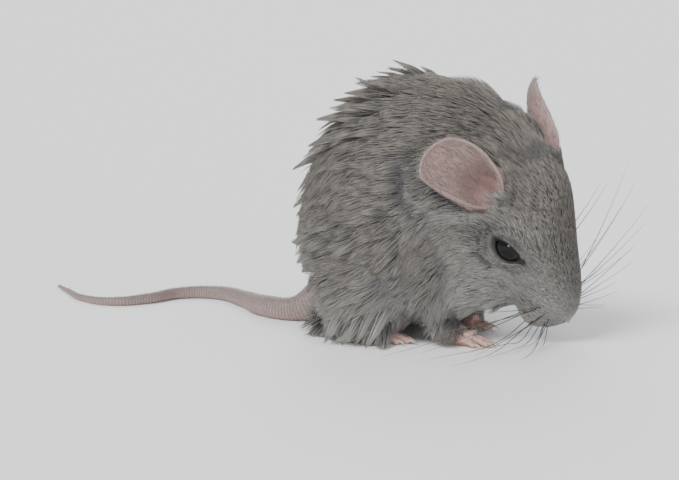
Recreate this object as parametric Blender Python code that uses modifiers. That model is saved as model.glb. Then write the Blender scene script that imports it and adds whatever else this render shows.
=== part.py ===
"""A live grey house mouse, life size. It crouches with an arched back, its head bent to the floor.

Metres, +Z up, +X to the mouse's front and +Y to its left. The floor is at Z = 0 and the origin is
the middle of the bounding box there. Each part of the body is one closed solid whose surface is
the outside of the coat, or the bare skin of ears, feet and tail. Thin cuts part the neighbours.
Soles, toes and tail lie on small flats at floor level.
"""

import math

import bmesh
import bpy
import numpy as np
from mathutils import Matrix, Vector

MM = 0.001
CUT = 0.3 * MM  # width of the cut between two parts
SIDES = {"left": 1, "right": -1}

# The head has its own axes: forward, left and up from the tip of the nose. It is bent down,
# turned a little to the mouse's right and tilted so that the right ear is the lower one.
NOSE_TIP = Vector((21.8, 4.6, 2.3)) * MM
HEAD_SIZE = 1.07
HEAD_PITCH, HEAD_TURN, HEAD_TILT = math.radians(63), math.radians(-12.5), math.radians(19)

# Sizes and places from here on are in mm. Those on the head are in the head's own axes.
EYE_PLACE, EYE_RADIUS = Vector((-13.9, 5.4, 3.0)), 2.2
NOSE_PAD_PLACE, NOSE_PAD_HALF = Vector((-0.6, 0, 0.3)), Vector((0.9, 1.1, 0.8))
EAR_PLACE = Vector((-22.4, 6.6, 5.2))
EAR_AXIS, EAR_OPENING = Vector((-0.80, 0.59, -0.02)), Vector((0.36, 0.60, 0.72))
EAR_HEIGHT, EAR_WIDTH, EAR_WALL = 12.4, 8.8, 0.6

THIGH_PLACE, THIGH_HALF = Vector((-4.4, 10.2, 10.4)), Vector((9.7, 6.3, 10.0))
FORELEG_ROUTE = [(6.6, 6.2, 20), (6.5, 7.8, 14.5), (6.5, 8.6, 9.5), (7.0, 7.8, 5)]
FORELEG_RADII, WRIST_HEIGHT, WRIST_RADIUS = (2.6, 4.2, 3.5, 2.2), 1.9, 1.3
FOREPAWS = {"left": (4.0, 5.4, -4), "right": (8.6, -5.4, 6)}  # x, y and heading in degrees
FOREPAW_SOLE, FOREPAW_HALF, FOREPAW_DIGITS = 3.2, 1.5, (2.6, 3.6, 3.6, 2.9)
HIND_FEET = {"left": (-11.0, 8.4, 2), "right": (-11.0, -8.4, -2)}
HIND_SOLE, HIND_HALF, HIND_TOES = 10.5, 1.7, (3.0, 4.6, 5.0, 4.6, 3.0)

# The tail leaves the rump low and winds back along the floor: x and y, and the radius there.
TAIL_ROUTE = [(-14.5, 0, 3.0), (-19.0, -2.4, 1.85), (-24.5, -2.2, 1.65), (-31, 2.0, 1.3),
              (-38, 5.0, 1.1), (-43.5, 2.6, 0.95), (-45.8, -3.4, 0.85), (-49.5, -7.4, 0.7),
              (-55.5, -7.0, 0.55), (-61.5, -3.2, 0.42), (-66.5, 0.4, 0.25)]
TAIL_LENGTHS = 4

COAT_GREY = (0.21, 0.20, 0.19)
BARE_PINK = (0.62, 0.42, 0.38)
TAIL_GREY = (0.36, 0.29, 0.27)
EYE_BLACK = (0.01, 0.009, 0.009)


def clear_scene():
    for thing in list(bpy.data.objects):
        bpy.data.objects.remove(thing, do_unlink=True)


def collection(name):
    made = bpy.data.collections.new(name)
    bpy.context.scene.collection.children.link(made)
    return made


def material(name, colour, roughness):
    made = bpy.data.materials.new(name)
    made.use_nodes = True
    shader = made.node_tree.nodes["Principled BSDF"]
    shader.inputs["Base Color"].default_value = (*colour, 1)
    shader.inputs["Roughness"].default_value = roughness
    return made


def add(name, solid, finish):
    mesh = bpy.data.meshes.new(name)
    solid.to_mesh(mesh)
    solid.free()
    mesh.shade_smooth()
    mesh.materials.append(finish)
    made = bpy.data.objects.new(name, mesh)
    SHOWN.objects.link(made)
    return made


def settle(thing):
    """Makes what the modifiers give the object's own mesh."""
    evaluated = thing.evaluated_get(bpy.context.evaluated_depsgraph_get())
    thing.data = bpy.data.meshes.new_from_object(evaluated)
    thing.modifiers.clear()
    thing.data.shade_smooth()


def put_aside(thing):
    SHOWN.objects.unlink(thing)
    CUTTERS.objects.link(thing)
    thing.hide_render = True
    thing.display_type = "WIRE"


def drop_crumbs(thing):
    """Keeps the largest of the separate pieces that the cuts leave."""
    solid = bmesh.new()
    solid.from_mesh(thing.data)
    left, pieces = set(solid.verts), []
    while left:
        piece, edge_of_piece = set(), {left.pop()}
        while edge_of_piece:
            vertex = edge_of_piece.pop()
            piece.add(vertex)
            edge_of_piece |= {edge.other_vert(vertex) for edge in vertex.link_edges} - piece
        left -= piece
        pieces.append(piece)
    largest = max(pieces, key=len)
    bmesh.ops.delete(solid, geom=[v for v in solid.verts if v not in largest], context="VERTS")
    solid.to_mesh(thing.data)
    solid.free()


def join_to(body, others):
    """Makes body one solid with the shapes that grow from it."""
    for other in others:
        put_aside(other)
        grow = body.modifiers.new("with_" + other.name, "BOOLEAN")
        grow.operation, grow.object = "UNION", other
    settle(body)


def room_for(part):
    """The part's whole shape, made larger all round by the width of a cut."""
    room = bpy.data.objects.new(part.name + "_room", part.data.copy())
    SHOWN.objects.link(room)
    put_aside(room)
    widen = room.modifiers.new("widen", "DISPLACE")
    widen.mid_level, widen.strength = 0, CUT
    return room


def cut_away(body, rooms):
    for room in rooms:
        cut = body.modifiers.new("without_" + room.name, "BOOLEAN")
        cut.operation, cut.object = "DIFFERENCE", room
    settle(body)
    drop_crumbs(body)


# ---- shapes -----------------------------------------------------------------------------------

def section(dorsal, ventral, half_width, side=(0, 1, 0), widest=0.45, fullness=2.2):
    """One cross-section of the body, in mm: the ends of its height and its half width.
    widest is how far up the height its widest level lies. A fullness of 2 makes it an ellipse."""
    return np.array([*dorsal, *ventral, *side, half_width, widest, fullness], float)


def smooth_rows(rows, stops):
    """The rows at these fractional places, on a smooth curve that passes through each row."""
    rows = np.asarray(rows, float)
    slopes = np.gradient(rows, axis=0)
    found = []
    for stop in stops:
        i = min(int(stop), len(rows) - 2)
        t = stop - i
        row = (1 + 2 * t) * (1 - t) ** 2 * rows[i] + t * t * (3 - 2 * t) * rows[i + 1]
        found.append(row + t * (1 - t) ** 2 * slopes[i] + t * t * (t - 1) * slopes[i + 1])
    return found


def ring(row, corners):
    """The closed outline of a cross-section, and the way that its plane faces."""
    dorsal, ventral, side, (half_width, widest, fullness) = np.split(row, (3, 6, 9))
    side = side / np.linalg.norm(side)
    height = dorsal - ventral
    centre = ventral + widest * height
    points = []
    for step in range(corners):
        angle = 2 * math.pi * (step + 0.5) / corners
        across = math.copysign(abs(math.cos(angle)) ** (2 / fullness), math.cos(angle))
        along = math.copysign(abs(math.sin(angle)) ** (2 / fullness), math.sin(angle))
        reach = (1 - widest if along > 0 else widest) * along
        points.append(Vector(centre + across * half_width * side + reach * height) * MM)
    return points, Vector(np.cross(side, height)).normalized()


def loft(rows, corners, start_cut=0.0, end_cut=0.0):
    """A closed solid through these cross-sections, its flat ends drawn back by the cuts."""
    solid = bmesh.new()
    outlines = []
    for number, row in enumerate(rows):
        points, facing = ring(row, corners)
        shift = {0: start_cut, len(rows) - 1: -end_cut}.get(number, 0.0)
        outlines.append([solid.verts.new(point + facing * shift) for point in points])
    for first, second in zip(outlines, outlines[1:]):
        for i in range(corners):
            j = (i + 1) % corners
            solid.faces.new((first[i], first[j], second[j], second[i]))
    solid.faces.new(outlines[0])
    solid.faces.new(outlines[-1])
    bmesh.ops.recalc_face_normals(solid, faces=solid.faces)
    return solid


def swell(solid, centre, reach, rise):
    """Raises the surface round a point, in metres, fading out at the reach."""
    solid.normal_update()
    for vertex in solid.verts:
        away = (vertex.co - centre).length / (reach * MM)
        if away < 1:
            vertex.co += vertex.normal * rise * MM * (1 - away**2) ** 2


def on_floor(solid):
    """Presses flat on the floor what would reach below it."""
    for vertex in solid.verts:
        vertex.co.z = max(vertex.co.z, 0)
    return solid


def egg(centre, half, frame=Matrix(), rings=8):
    solid = bmesh.new()
    bmesh.ops.create_uvsphere(solid, u_segments=2 * rings, v_segments=rings, radius=MM)
    place = frame @ Matrix.Translation(Vector(centre) * MM) @ Matrix.Diagonal((*half, 1))
    bmesh.ops.transform(solid, matrix=place, verts=solid.verts)
    return solid


def limb(stations, corners, rows, ends=(0, 1), cut=0.0, upper_side=(0, 0, 1)):
    """A tapering round limb through stations of x, y, z and radius, or one length of it."""
    stops = np.linspace(*ends, rows) * (len(stations) - 1)
    samples = np.array(smooth_rows(stations, stops))
    ahead = np.array(smooth_rows(stations, np.minimum(stops + 0.05, len(stations) - 1)))
    behind = np.array(smooth_rows(stations, np.maximum(stops - 0.05, 0)))
    sections = []
    for sample, way in zip(samples, (ahead - behind)[:, :3]):
        way = way / np.linalg.norm(way)
        side = np.cross(upper_side, way)
        side /= np.linalg.norm(side)
        up = np.cross(way, side) * sample[3]
        sections.append(section(sample[:3] + up, sample[:3] - up, sample[3], side, 0.5, 2))
    return loft(sections, corners, cut, cut)


# ---- trunk, neck and head: one run of cross-sections from the rump to the nose ------------------

def head_frame():
    bent = Matrix.Rotation(HEAD_TURN, 4, "Z") @ Matrix.Rotation(HEAD_PITCH, 4, "Y")
    return Matrix.Translation(NOSE_TIP) @ Matrix.Rotation(HEAD_TILT, 4, "X") @ bent


HEAD = head_frame()
HEAD_SIDE = HEAD.to_3x3() @ Vector((0, 1, 0))

def on_head(back, up, left=0.0):
    return HEAD @ (Vector((-back, left, up)) * HEAD_SIZE * MM) / MM


def trunk_section(dorsal, ventral, half_width, widest=0.42):
    (x, z), (low_x, low_z) = dorsal, ventral
    return section((x, 0, z), (low_x, 0, low_z), half_width, widest=widest, fullness=2.35)


def head_section(back, top, bottom, half_width):
    ends = on_head(back, top), on_head(back, bottom)
    return section(*ends, half_width * HEAD_SIZE, HEAD_SIDE, 0.5, 2.25)


TRUNK_ROWS = [
    trunk_section((-15.2, 6.5), (-14.2, 2.8), 3.0),
    trunk_section((-16.4, 12.5), (-12.6, 1.8), 8.4),
    trunk_section((-16.2, 20.5), (-9.5, 1.7), 12.4),
    trunk_section((-13.2, 29.5), (-5.0, 1.7), 15.4),
    trunk_section((-7.0, 35.9), (0.0, 1.8), 16.2),
    trunk_section((0.3, 38.6), (5.2, 2.0), 15.0),
    trunk_section((7.4, 37.3), (8.5, 3.2), 12.3),
]
# The neck runs on into the head, which is parted from it afterwards.
NECK_ROWS = [
    section((12.8, -1.0, 34.9), (11.4, 1.5, 3.0), 10.2),
    section((17.7, -2.2, 32.0), (13.8, 3.0, 3.8), 8.4, (0.08, 0.97, 0.15)),
    section((20.5, -2.6, 27.4), (15.8, 4.2, 5.4), 6.8, HEAD_SIDE),
]
HEAD_ROWS = [
    head_section(25.2, 4.6, 1.8, 2.5),
    head_section(24.3, 7.6, 0.0, 5.6),
    head_section(22.0, 9.3, -1.4, 7.4),
    head_section(18.5, 9.6, -2.8, 8.2),
    head_section(14.5, 8.7, -4.6, 7.8),
    head_section(11.0, 7.4, -5.9, 6.8),
    head_section(7.7, 6.0, -5.7, 5.5),
    head_section(4.8, 4.8, -4.9, 4.5),
    head_section(2.4, 3.4, -4.0, 3.6),
    head_section(0.8, 1.9, -2.7, 2.4),
]


def body_run(rows, first, last, count, corners, start_cut=0.0, end_cut=0.0):
    rows = smooth_rows(rows, np.linspace(first, last, count))
    return loft(rows, corners, start_cut, end_cut)


def make_trunk():
    joint = len(TRUNK_ROWS) - 1
    return add("trunk", body_run(TRUNK_ROWS + NECK_ROWS, 0, joint, 14, 24, end_cut=CUT / 2), COAT)


def make_neck():
    rows = TRUNK_ROWS + NECK_ROWS
    return add("neck", body_run(rows, len(TRUNK_ROWS) - 1, len(rows) - 1, 7, 24, CUT / 2), COAT)


def make_head():
    solid = body_run(HEAD_ROWS, 0, len(HEAD_ROWS) - 1, 18, 20)
    for side in SIDES.values():
        swell(solid, on_head(3.8, -1.0, 3.0 * side) * MM, 3.5, 0.6)  # whisker pad
        swell(solid, on_head(12.5, -2.6, 6.0 * side) * MM, 4.5, 0.6)  # cheek
    return add("head", solid, COAT)


def make_lower_jaw():
    rows = [
        section(on_head(3.2, -2.9), on_head(3.4, -4.6), 1.1, HEAD_SIDE, 0.5),
        section(on_head(4.4, -2.2), on_head(4.9, -5.9), 2.0, HEAD_SIDE, 0.5),
        section(on_head(6.2, -2.0), on_head(7.0, -7.0), 3.0, HEAD_SIDE, 0.5),
        section(on_head(8.6, -2.2), on_head(8.8, -7.4), 3.6, HEAD_SIDE, 0.5),
    ]
    return add("lower_jaw", loft(smooth_rows(rows, np.linspace(0, 3, 7)), 16), COAT)


def make_nose():
    return add("nose", egg(NOSE_PAD_PLACE * HEAD_SIZE, NOSE_PAD_HALF, HEAD, 6), BARE)


def make_eye(name, side):
    place = Vector((EYE_PLACE.x, side * EYE_PLACE.y, EYE_PLACE.z)) * HEAD_SIZE
    return add(f"eye_{name}", egg(place, (EYE_RADIUS,) * 3, HEAD, 7), EYE)


def make_ear(name, side):
    """A thin cupped shell. Near its root the edges curl round to a short funnel."""
    mirror = Vector((1, side, 1))
    axis = (EAR_AXIS * mirror).normalized()
    opening = (EAR_OPENING * mirror - axis * (EAR_OPENING * mirror).dot(axis)).normalized()
    across = axis.cross(opening)
    base = EAR_PLACE * mirror * HEAD_SIZE
    solid = bmesh.new()
    bmesh.ops.create_grid(solid, x_segments=8, y_segments=7, size=1)
    for vertex in solid.verts:
        u, v = vertex.co.x, (vertex.co.y + 1) / 2
        half_width = EAR_WIDTH / 2 * (0.30 + 0.70 * math.sin(math.pi * min(v / 0.58, 1) / 2))
        if v > 0.58:
            half_width *= math.sqrt(max(1 - ((v - 0.58) / 0.44) ** 2, 0.02))
        curl = math.radians(104 * (1 - v) ** 2 + 30)
        radius = half_width / math.sin(min(curl, math.pi / 2))
        sideways = radius * math.sin(u * curl)
        depth = radius * (1 - math.cos(u * curl)) - 0.18 * half_width
        lean = -0.6 * math.sin(math.pi * v * 0.8)
        vertex.co = HEAD @ ((base + axis * EAR_HEIGHT * (v - 0.18) + across * sideways
                             + opening * (depth + lean)) * MM)
    ear = add(f"ear_{name}", solid, BARE)
    wall = ear.modifiers.new("wall", "SOLIDIFY")
    wall.thickness, wall.offset = EAR_WALL * MM, 0
    settle(ear)
    return ear


def make_thigh(name, side):
    place = Vector((THIGH_PLACE.x, side * THIGH_PLACE.y, THIGH_PLACE.z))
    return add(f"thigh_{name}", egg(place, THIGH_HALF, rings=9), COAT)


def make_foreleg(name, side):
    stations = [(x, side * y, z, r) for (x, y, z), r in zip(FORELEG_ROUTE, FORELEG_RADII)]
    paw_x, paw_y, heading = FOREPAWS[name]
    stations.append((paw_x + 0.3, paw_y, WRIST_HEIGHT, WRIST_RADIUS))
    return add(f"foreleg_{name}", on_floor(limb(stations, 10, 9, upper_side=(1, 0, 0))), COAT)


def make_foot(name, place, sole, half, lengths, toe_radius):
    """A foot flat on the floor: a sole, and fanned toes that each end in a claw.
    What it gives back is the room that the coat above leaves for it."""
    x, y, heading = place
    foot = Matrix.Translation(Vector((x, y, 0))) @ Matrix.Rotation(math.radians(heading), 4, "Z")

    def put(stations):
        return [(*(foot @ Vector(station[:3])), station[3]) for station in stations]

    stations = [(-0.5, 0, 0.8, half * 0.3), (0.4, 0, 0.9, half * 0.65), (sole * 0.4, 0, 0.9, half * 0.8),
                (sole, 0, 0.75, half)]
    body = add(name, on_floor(limb(put(stations), 10, 7)), BARE)
    roomy = [(-0.5, 0, 0.6, half * 0.8 + 0.5), (sole * 0.5, 0, 0.6, half + 0.55),
             (sole + 2.6, 0, 0.6, half * 1.3 + 0.5)]
    room = add(name + "_room", limb(put(roomy), 12, 4), BARE)
    put_aside(room)
    grown = []
    middle = (len(lengths) - 1) / 2
    for number, length in enumerate(lengths):
        spread = (number - middle) / middle
        turn = math.radians(-17 * spread)
        root = Vector((sole - 1.0 - abs(spread) * half * 0.7, -spread * half * 0.72, 0))
        way = Vector((math.cos(turn), math.sin(turn), 0))
        heights = ((0, 0.95, 1.15), (0.35, 1.05, 1), (0.7, 0.8, 0.95), (1, 0.42, 0.9))
        toe = [(*(root + way * length * t)[:2], z, toe_radius * r) for t, z, r in heights]
        grown.append(add(f"{name}_toe_{number}", on_floor(limb(put(toe), 6, 4)), BARE))
        claw = [(*(root + way * (length + t))[:2], z, r)
                for t, z, r in ((-0.5, 0.5, 0.3), (0.4, 0.62, 0.24), (1.2, 0.25, 0.07))]
        grown.append(add(f"{name}_claw_{number}", on_floor(limb(put(claw), 4, 3)), BARE))
    join_to(body, grown)
    return room


def make_tail():
    stations = [(x, y, r * 0.92, r) for x, y, r in TAIL_ROUTE]
    stations[0] = (*stations[0][:2], 4.6, stations[0][3])
    lengths = []
    for number in range(TAIL_LENGTHS):
        ends = number / TAIL_LENGTHS, (number + 1) / TAIL_LENGTHS
        solid = limb(stations, 12, 9, ends, CUT / 2)
        lengths.append(add(f"tail_{number + 1}", on_floor(solid), TAIL))
    return lengths


# ---- making the parts -------------------------------------------------------------------------

clear_scene()
SHOWN, CUTTERS = collection("grey_mouse"), collection("cutters")
COAT = material("coat", COAT_GREY, 0.75)
BARE = material("bare_skin", BARE_PINK, 0.55)
TAIL = material("tail_skin", TAIL_GREY, 0.6)
EYE = material("eye", EYE_BLACK, 0.08)

trunk, neck, head = make_trunk(), make_neck(), make_head()
jaw, nose, tail = make_lower_jaw(), make_nose(), make_tail()
eyes = [make_eye(name, side) for name, side in SIDES.items()]
ears = [make_ear(name, side) for name, side in SIDES.items()]
thighs = [make_thigh(name, side) for name, side in SIDES.items()]
forelegs = [make_foreleg(name, side) for name, side in SIDES.items()]
forepaw_rooms = [make_foot(f"forepaw_{name}", place, FOREPAW_SOLE, FOREPAW_HALF, FOREPAW_DIGITS, 0.5)
                  for name, place in FOREPAWS.items()]
hind_foot_rooms = [make_foot(f"hind_foot_{name}", place, HIND_SOLE, HIND_HALF, HIND_TOES, 0.55)
                    for name, place in HIND_FEET.items()]

# Each part makes way for those that lie over it or in it, whose rooms are taken while they are whole.
trunk_room, neck_room, head_room = room_for(trunk), room_for(neck), room_for(head)
jaw_room, nose_room, eye_rooms = room_for(jaw), room_for(nose), [room_for(eye) for eye in eyes]
thigh_rooms, foreleg_rooms = [room_for(thigh) for thigh in thighs], [room_for(leg) for leg in forelegs]

cut_away(tail[0], [trunk_room])
for ear in ears:
    cut_away(ear, [head_room, neck_room])
cut_away(head, [jaw_room, nose_room, *eye_rooms])
cut_away(neck, [head_room, jaw_room, *foreleg_rooms])
cut_away(trunk, thigh_rooms + foreleg_rooms)
for foreleg, thigh_room, paw_room in zip(forelegs, thigh_rooms, forepaw_rooms):
    cut_away(foreleg, [thigh_room, paw_room])
for thigh, foot_room in zip(thighs, hind_foot_rooms):
    cut_away(thigh, [foot_room])

low, high = (np.array([[pick(v.co[axis] for v in part.data.vertices) for axis in range(3)]
                       for part in SHOWN.objects]) for pick in (min, max))
low, high = low.min(axis=0), high.max(axis=0)
to_origin = Matrix.Translation((-(low[0] + high[0]) / 2, -(low[1] + high[1]) / 2, 0))
for thing in [*SHOWN.objects, *CUTTERS.objects]:
    thing.data.transform(to_origin)
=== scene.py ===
"""A live grey house mouse as a still, life-size model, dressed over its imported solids.

It crouches on a pale floor with an arched back, its head bent down and its tail laid out behind it.
One skin takes the place of the parts of flesh. The coat is solid tufts that are rooted on the skin.
"""

import math

import bmesh
import bpy
import numpy as np
from mathutils import Matrix, Vector
from mathutils.bvhtree import BVHTree
from mathutils.kdtree import KDTree


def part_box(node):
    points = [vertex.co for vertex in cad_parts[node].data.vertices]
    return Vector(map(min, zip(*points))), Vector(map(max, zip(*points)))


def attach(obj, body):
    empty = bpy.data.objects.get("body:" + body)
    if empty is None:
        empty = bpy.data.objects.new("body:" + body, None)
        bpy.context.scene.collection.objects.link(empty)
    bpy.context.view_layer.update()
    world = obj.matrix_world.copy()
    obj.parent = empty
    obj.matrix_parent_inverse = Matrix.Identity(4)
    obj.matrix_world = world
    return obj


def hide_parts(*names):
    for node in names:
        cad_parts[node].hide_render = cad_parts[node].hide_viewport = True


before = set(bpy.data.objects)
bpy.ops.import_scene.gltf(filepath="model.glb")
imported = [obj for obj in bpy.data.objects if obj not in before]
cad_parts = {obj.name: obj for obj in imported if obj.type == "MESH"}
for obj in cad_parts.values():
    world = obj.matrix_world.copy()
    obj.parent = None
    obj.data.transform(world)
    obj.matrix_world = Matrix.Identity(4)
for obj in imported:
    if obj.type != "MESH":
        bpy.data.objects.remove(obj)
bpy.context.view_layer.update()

MM = 0.001

# ---- floor, light and camera ---------------------------------------------------------------------
# A plain pale floor under soft, even studio light. The mouse is seen from its right side, from a
# little in front of it and a little above the floor.

FLOOR_REACH, FLOOR_COLOUR = 60.0, (0.90, 0.90, 0.89, 1)  # metres from its middle to an edge
STUDIO_COLOUR, STUDIO_STRENGTH = (0.94, 0.96, 1.0, 1), 0.72
# The way that each light comes from, how soft it is in degrees, and how strong.
LIGHTS = {"key": ((-0.25, -0.75, 0.95), 24, 2.75), "fill": ((0.85, -0.35, 0.50), 50, 0.45),
          "rim": ((-0.45, 0.80, 0.60), 30, 1.2), "eye_light": ((0.40, -0.90, 0.12), 17, 0.75)}


def placed(name, data):
    """A new object of the scene with this data."""
    made = bpy.data.objects.new(name, data)
    bpy.context.scene.collection.objects.link(made)
    return made


def as_object(name, solid):
    """The solid as a new object. The solid itself is freed."""
    mesh = bpy.data.meshes.new(name)
    solid.to_mesh(mesh)
    solid.free()
    return placed(name, mesh)


def new_paint(name, values):
    """A material with these values on its shader's sockets, with its node tree and its shader."""
    paint = bpy.data.materials.new(name)
    paint.use_nodes = True
    shader = paint.node_tree.nodes["Principled BSDF"]
    for socket, value in values.items():
        shader.inputs[socket].default_value = value
    return paint, paint.node_tree, shader


floor_sheet = bmesh.new()
bmesh.ops.create_grid(floor_sheet, x_segments=1, y_segments=1, size=FLOOR_REACH)
floor = as_object("floor", floor_sheet)
pale_floor = new_paint("pale_floor", {"Base Color": FLOOR_COLOUR, "Roughness": 0.9})[0]
floor.data.materials.append(pale_floor)

studio = bpy.data.worlds.new("studio")
studio.use_nodes = True
studio.node_tree.nodes["Background"].inputs["Color"].default_value = STUDIO_COLOUR
studio.node_tree.nodes["Background"].inputs["Strength"].default_value = STUDIO_STRENGTH
bpy.context.scene.world = studio
for name, (towards, softness, strength) in LIGHTS.items():
    lamp = bpy.data.lights.new(name, "SUN")
    lamp.angle, lamp.energy = math.radians(softness), strength
    placed(name, lamp).rotation_euler = Vector(towards).to_track_quat("Z", "Y").to_euler()


def box_centre(node):
    """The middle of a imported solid's box."""
    low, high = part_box(node)
    return (low + high) / 2


# Places on the body and the floor are in mm from this one, which is midway between the hind feet.
HEEL_BACK = 11.562  # how far behind it the heels end
middle = Vector((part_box("hind_foot_left")[0].x / MM + HEEL_BACK,
                 (box_centre("hind_foot_left").y + box_centre("hind_foot_right").y) / 2 / MM, 0))

VIEW_AZIMUTH, VIEW_ELEVATION, VIEW_DISTANCE = math.radians(27), math.radians(8), 260
VIEW_LENS, SENSOR_WIDTH = 95.1, 36.0  # mm
VIEW_CENTRE, VIEW_AIM = Vector((0.51, 0, 20)), Vector((-9.49, -6.1, 13.5))
towards_viewer = Vector((math.sin(VIEW_AZIMUTH) * math.cos(VIEW_ELEVATION),
                         -math.cos(VIEW_AZIMUTH) * math.cos(VIEW_ELEVATION),
                         math.sin(VIEW_ELEVATION)))
view_point = middle + VIEW_CENTRE + towards_viewer * VIEW_DISTANCE
view_aim = middle + VIEW_AIM
lens = bpy.data.cameras.new("camera")
lens.lens, lens.sensor_width = VIEW_LENS, SENSOR_WIDTH
lens.clip_start, lens.clip_end = 0.01, 200.0
camera = placed("camera", lens)
camera.location = view_point * MM
camera.rotation_euler = (view_aim - view_point).to_track_quat("-Z", "Y").to_euler()
bpy.context.scene.camera = camera

# ---- the skin: body ------------------------------------------------------------------------------
# One skin covers trunk, neck, head, haunches and forelegs with no seam. It starts from the packed
# solids, which reach out to the tips of the coat, and lies inside them by the depth of the fur.

FURRED_NODES = ["trunk", "neck", "head", "lower_jaw", "thigh_left", "thigh_right",
                "foreleg_left", "foreleg_right"]
SEAM_FILL = 0.32 * MM  # closes the cuts between the solids
BODY_VOXEL, BODY_SMOOTHING = 0.42 * MM, 26
MERGE_GAP = 1e-6  # metres


def solid_of(node):
    """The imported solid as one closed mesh."""
    solid = bmesh.new()
    solid.from_mesh(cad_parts[node].data)
    bmesh.ops.remove_doubles(solid, verts=solid.verts, dist=MERGE_GAP)
    return solid


def add_to(whole, part):
    """Puts the part into the whole, and frees it."""
    mesh = bpy.data.meshes.new("part")
    part.to_mesh(mesh)
    part.free()
    whole.from_mesh(mesh)
    bpy.data.meshes.remove(mesh)


def finish_with(thing, kind, **settings):
    """Gives the object's mesh what a modifier makes of it."""
    modifier = thing.modifiers.new(kind.lower(), kind)
    for key, value in settings.items():
        setattr(modifier, key, value)
    evaluated = thing.evaluated_get(bpy.context.evaluated_depsgraph_get())
    before = thing.data
    thing.data = bpy.data.meshes.new_from_object(evaluated)
    thing.modifiers.clear()
    bpy.data.meshes.remove(before)


def soften(thing, times):
    """Smooths the object's mesh this many times."""
    finish_with(thing, "SMOOTH", factor=0.5, iterations=times)


gathered = bmesh.new()
for node in FURRED_NODES + ["eye_left", "eye_right", "nose"]:
    part = solid_of(node)
    part.normal_update()
    for vertex in part.verts:
        vertex.co += vertex.normal * SEAM_FILL
    add_to(gathered, part)
skin = as_object("skin", gathered)
finish_with(skin, "REMESH", mode="VOXEL", voxel_size=BODY_VOXEL)
soften(skin, BODY_SMOOTHING)

# ---- the skin: depth under the coat --------------------------------------------------------------
# The fur is deepest on back and flanks and very short on the muzzle. The skin comes up to the
# surface where bare skin begins, round the ears, paws, tail and nose.

REGIONS = {"face": ["head", "lower_jaw"], "neck": ["neck"], "trunk": ["trunk"],
           "haunch": ["thigh_left", "thigh_right"], "foreleg": ["foreleg_left", "foreleg_right"]}
COAT_DEPTH = {"face": 0.55, "neck": 1.7, "trunk": 2.1, "haunch": 1.8, "foreleg": 0.8}  # mm
BARE_NODES = ["nose", "ear_left", "ear_right", "forepaw_left", "forepaw_right",
              "hind_foot_left", "hind_foot_right", "tail_1"]
REGION_BLEND = 1.2 * MM
SHORTER_ON_MUZZLE, DEEPER_ON_NAPE, DEEPER_ROUND_TAIL = 0.6, 0.8, 1.5  # a share, then mm
DEPTH_STEPS, STEP_SMOOTHING = 4, 3


def values_of(items, key, width, kind=np.float32):
    """An array of what the items hold under this key, so many values to an item."""
    values = np.empty(len(items) * width, kind)
    items.foreach_get(key, values)
    return values.reshape(-1, width)


def points_of(mesh):
    """The places of the mesh's vertices."""
    return values_of(mesh.vertices, "co", 3, float)


def normals_of(mesh):
    """The ways that the skin faces at the mesh's vertices."""
    return values_of(mesh.vertices, "normal", 3).astype(float)


def move_to(mesh, points):
    """Puts the mesh's vertices there."""
    mesh.vertices.foreach_set("co", points.ravel())
    mesh.update()


def fade(value, zero, one):
    """0 at the first limit, 1 at the second, smooth between."""
    t = np.clip((value - zero) / (one - zero), 0, 1)
    return t * t * (3 - 2 * t)


def distances(points, nodes):
    """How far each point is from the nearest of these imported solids."""
    found = np.full(len(points), np.inf)
    for node in nodes:
        solid = solid_of(node)
        tree = BVHTree.FromBMesh(solid)
        solid.free()
        near = np.fromiter((tree.find_nearest(point)[3] for point in points), float, len(points))
        found = np.minimum(found, near)
    return found


# The head's own axes, forward, left and up, from the eyes and the nose pad.
NOSE_BELOW_EYES = math.radians(11.4)  # how far the line from the eyes to the nose dips in the head
left_eye, right_eye, nose_pad = box_centre("eye_left"), box_centre("eye_right"), box_centre("nose")
head_left = (left_eye - right_eye).normalized()
along_nose = (nose_pad - (left_eye + right_eye) / 2).normalized()
head_forward = (Matrix.Rotation(-NOSE_BELOW_EYES, 3, head_left) @ along_nose).normalized()
head_up = head_forward.cross(head_left).normalized()
head_axes = np.array([head_forward, head_left, head_up])
nose_tip = nose_pad + (head_forward * 0.64 - head_up * 0.32) * MM


def in_head(points):
    """Places in the head's axes, in mm from the tip of the nose."""
    return (points - np.array(nose_tip)) @ head_axes.T / MM


def region_shares(points):
    """How much of each region's coat each point has, from 0 to 1."""
    nearness = {name: np.exp(-distances(points, nodes) / REGION_BLEND)
                for name, nodes in REGIONS.items()}
    total = sum(nearness.values())
    return {name: value / total for name, value in nearness.items()}


def round_tail_root(points):
    """1 low on the rump, where the fur is short and leaves the thick root of the tail bare."""
    return fade(points[:, 0], 15 * MM, 9 * MM) * fade(points[:, 2], 15 * MM, 9 * MM)


def coat_depth(points, shares, bare):
    """How deep the fur is, in metres. Bare is the distance to bare skin."""
    depth = sum(shares[name] * COAT_DEPTH[name] for name in REGIONS)
    forward = in_head(points)[:, 0]
    muzzle = shares["face"] * fade(forward, -14, -3)
    nape = shares["face"] * fade(forward, -17, -25)
    depth = depth * (1 - SHORTER_ON_MUZZLE * muzzle) + DEEPER_ON_NAPE * nape
    at_tail = DEEPER_ROUND_TAIL * round_tail_root(points)
    return (depth * fade(bare, 0.3 * MM, 3.2 * MM) + at_tail * fade(bare, 0.5 * MM, 2.5 * MM)) * MM


rough = points_of(skin.data)
depth = coat_depth(rough, region_shares(rough), distances(rough, BARE_NODES)) + SEAM_FILL
for _ in range(DEPTH_STEPS):
    move_to(skin.data, points_of(skin.data) - normals_of(skin.data) * depth[:, None] / DEPTH_STEPS)
    soften(skin, STEP_SMOOTHING)

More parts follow.
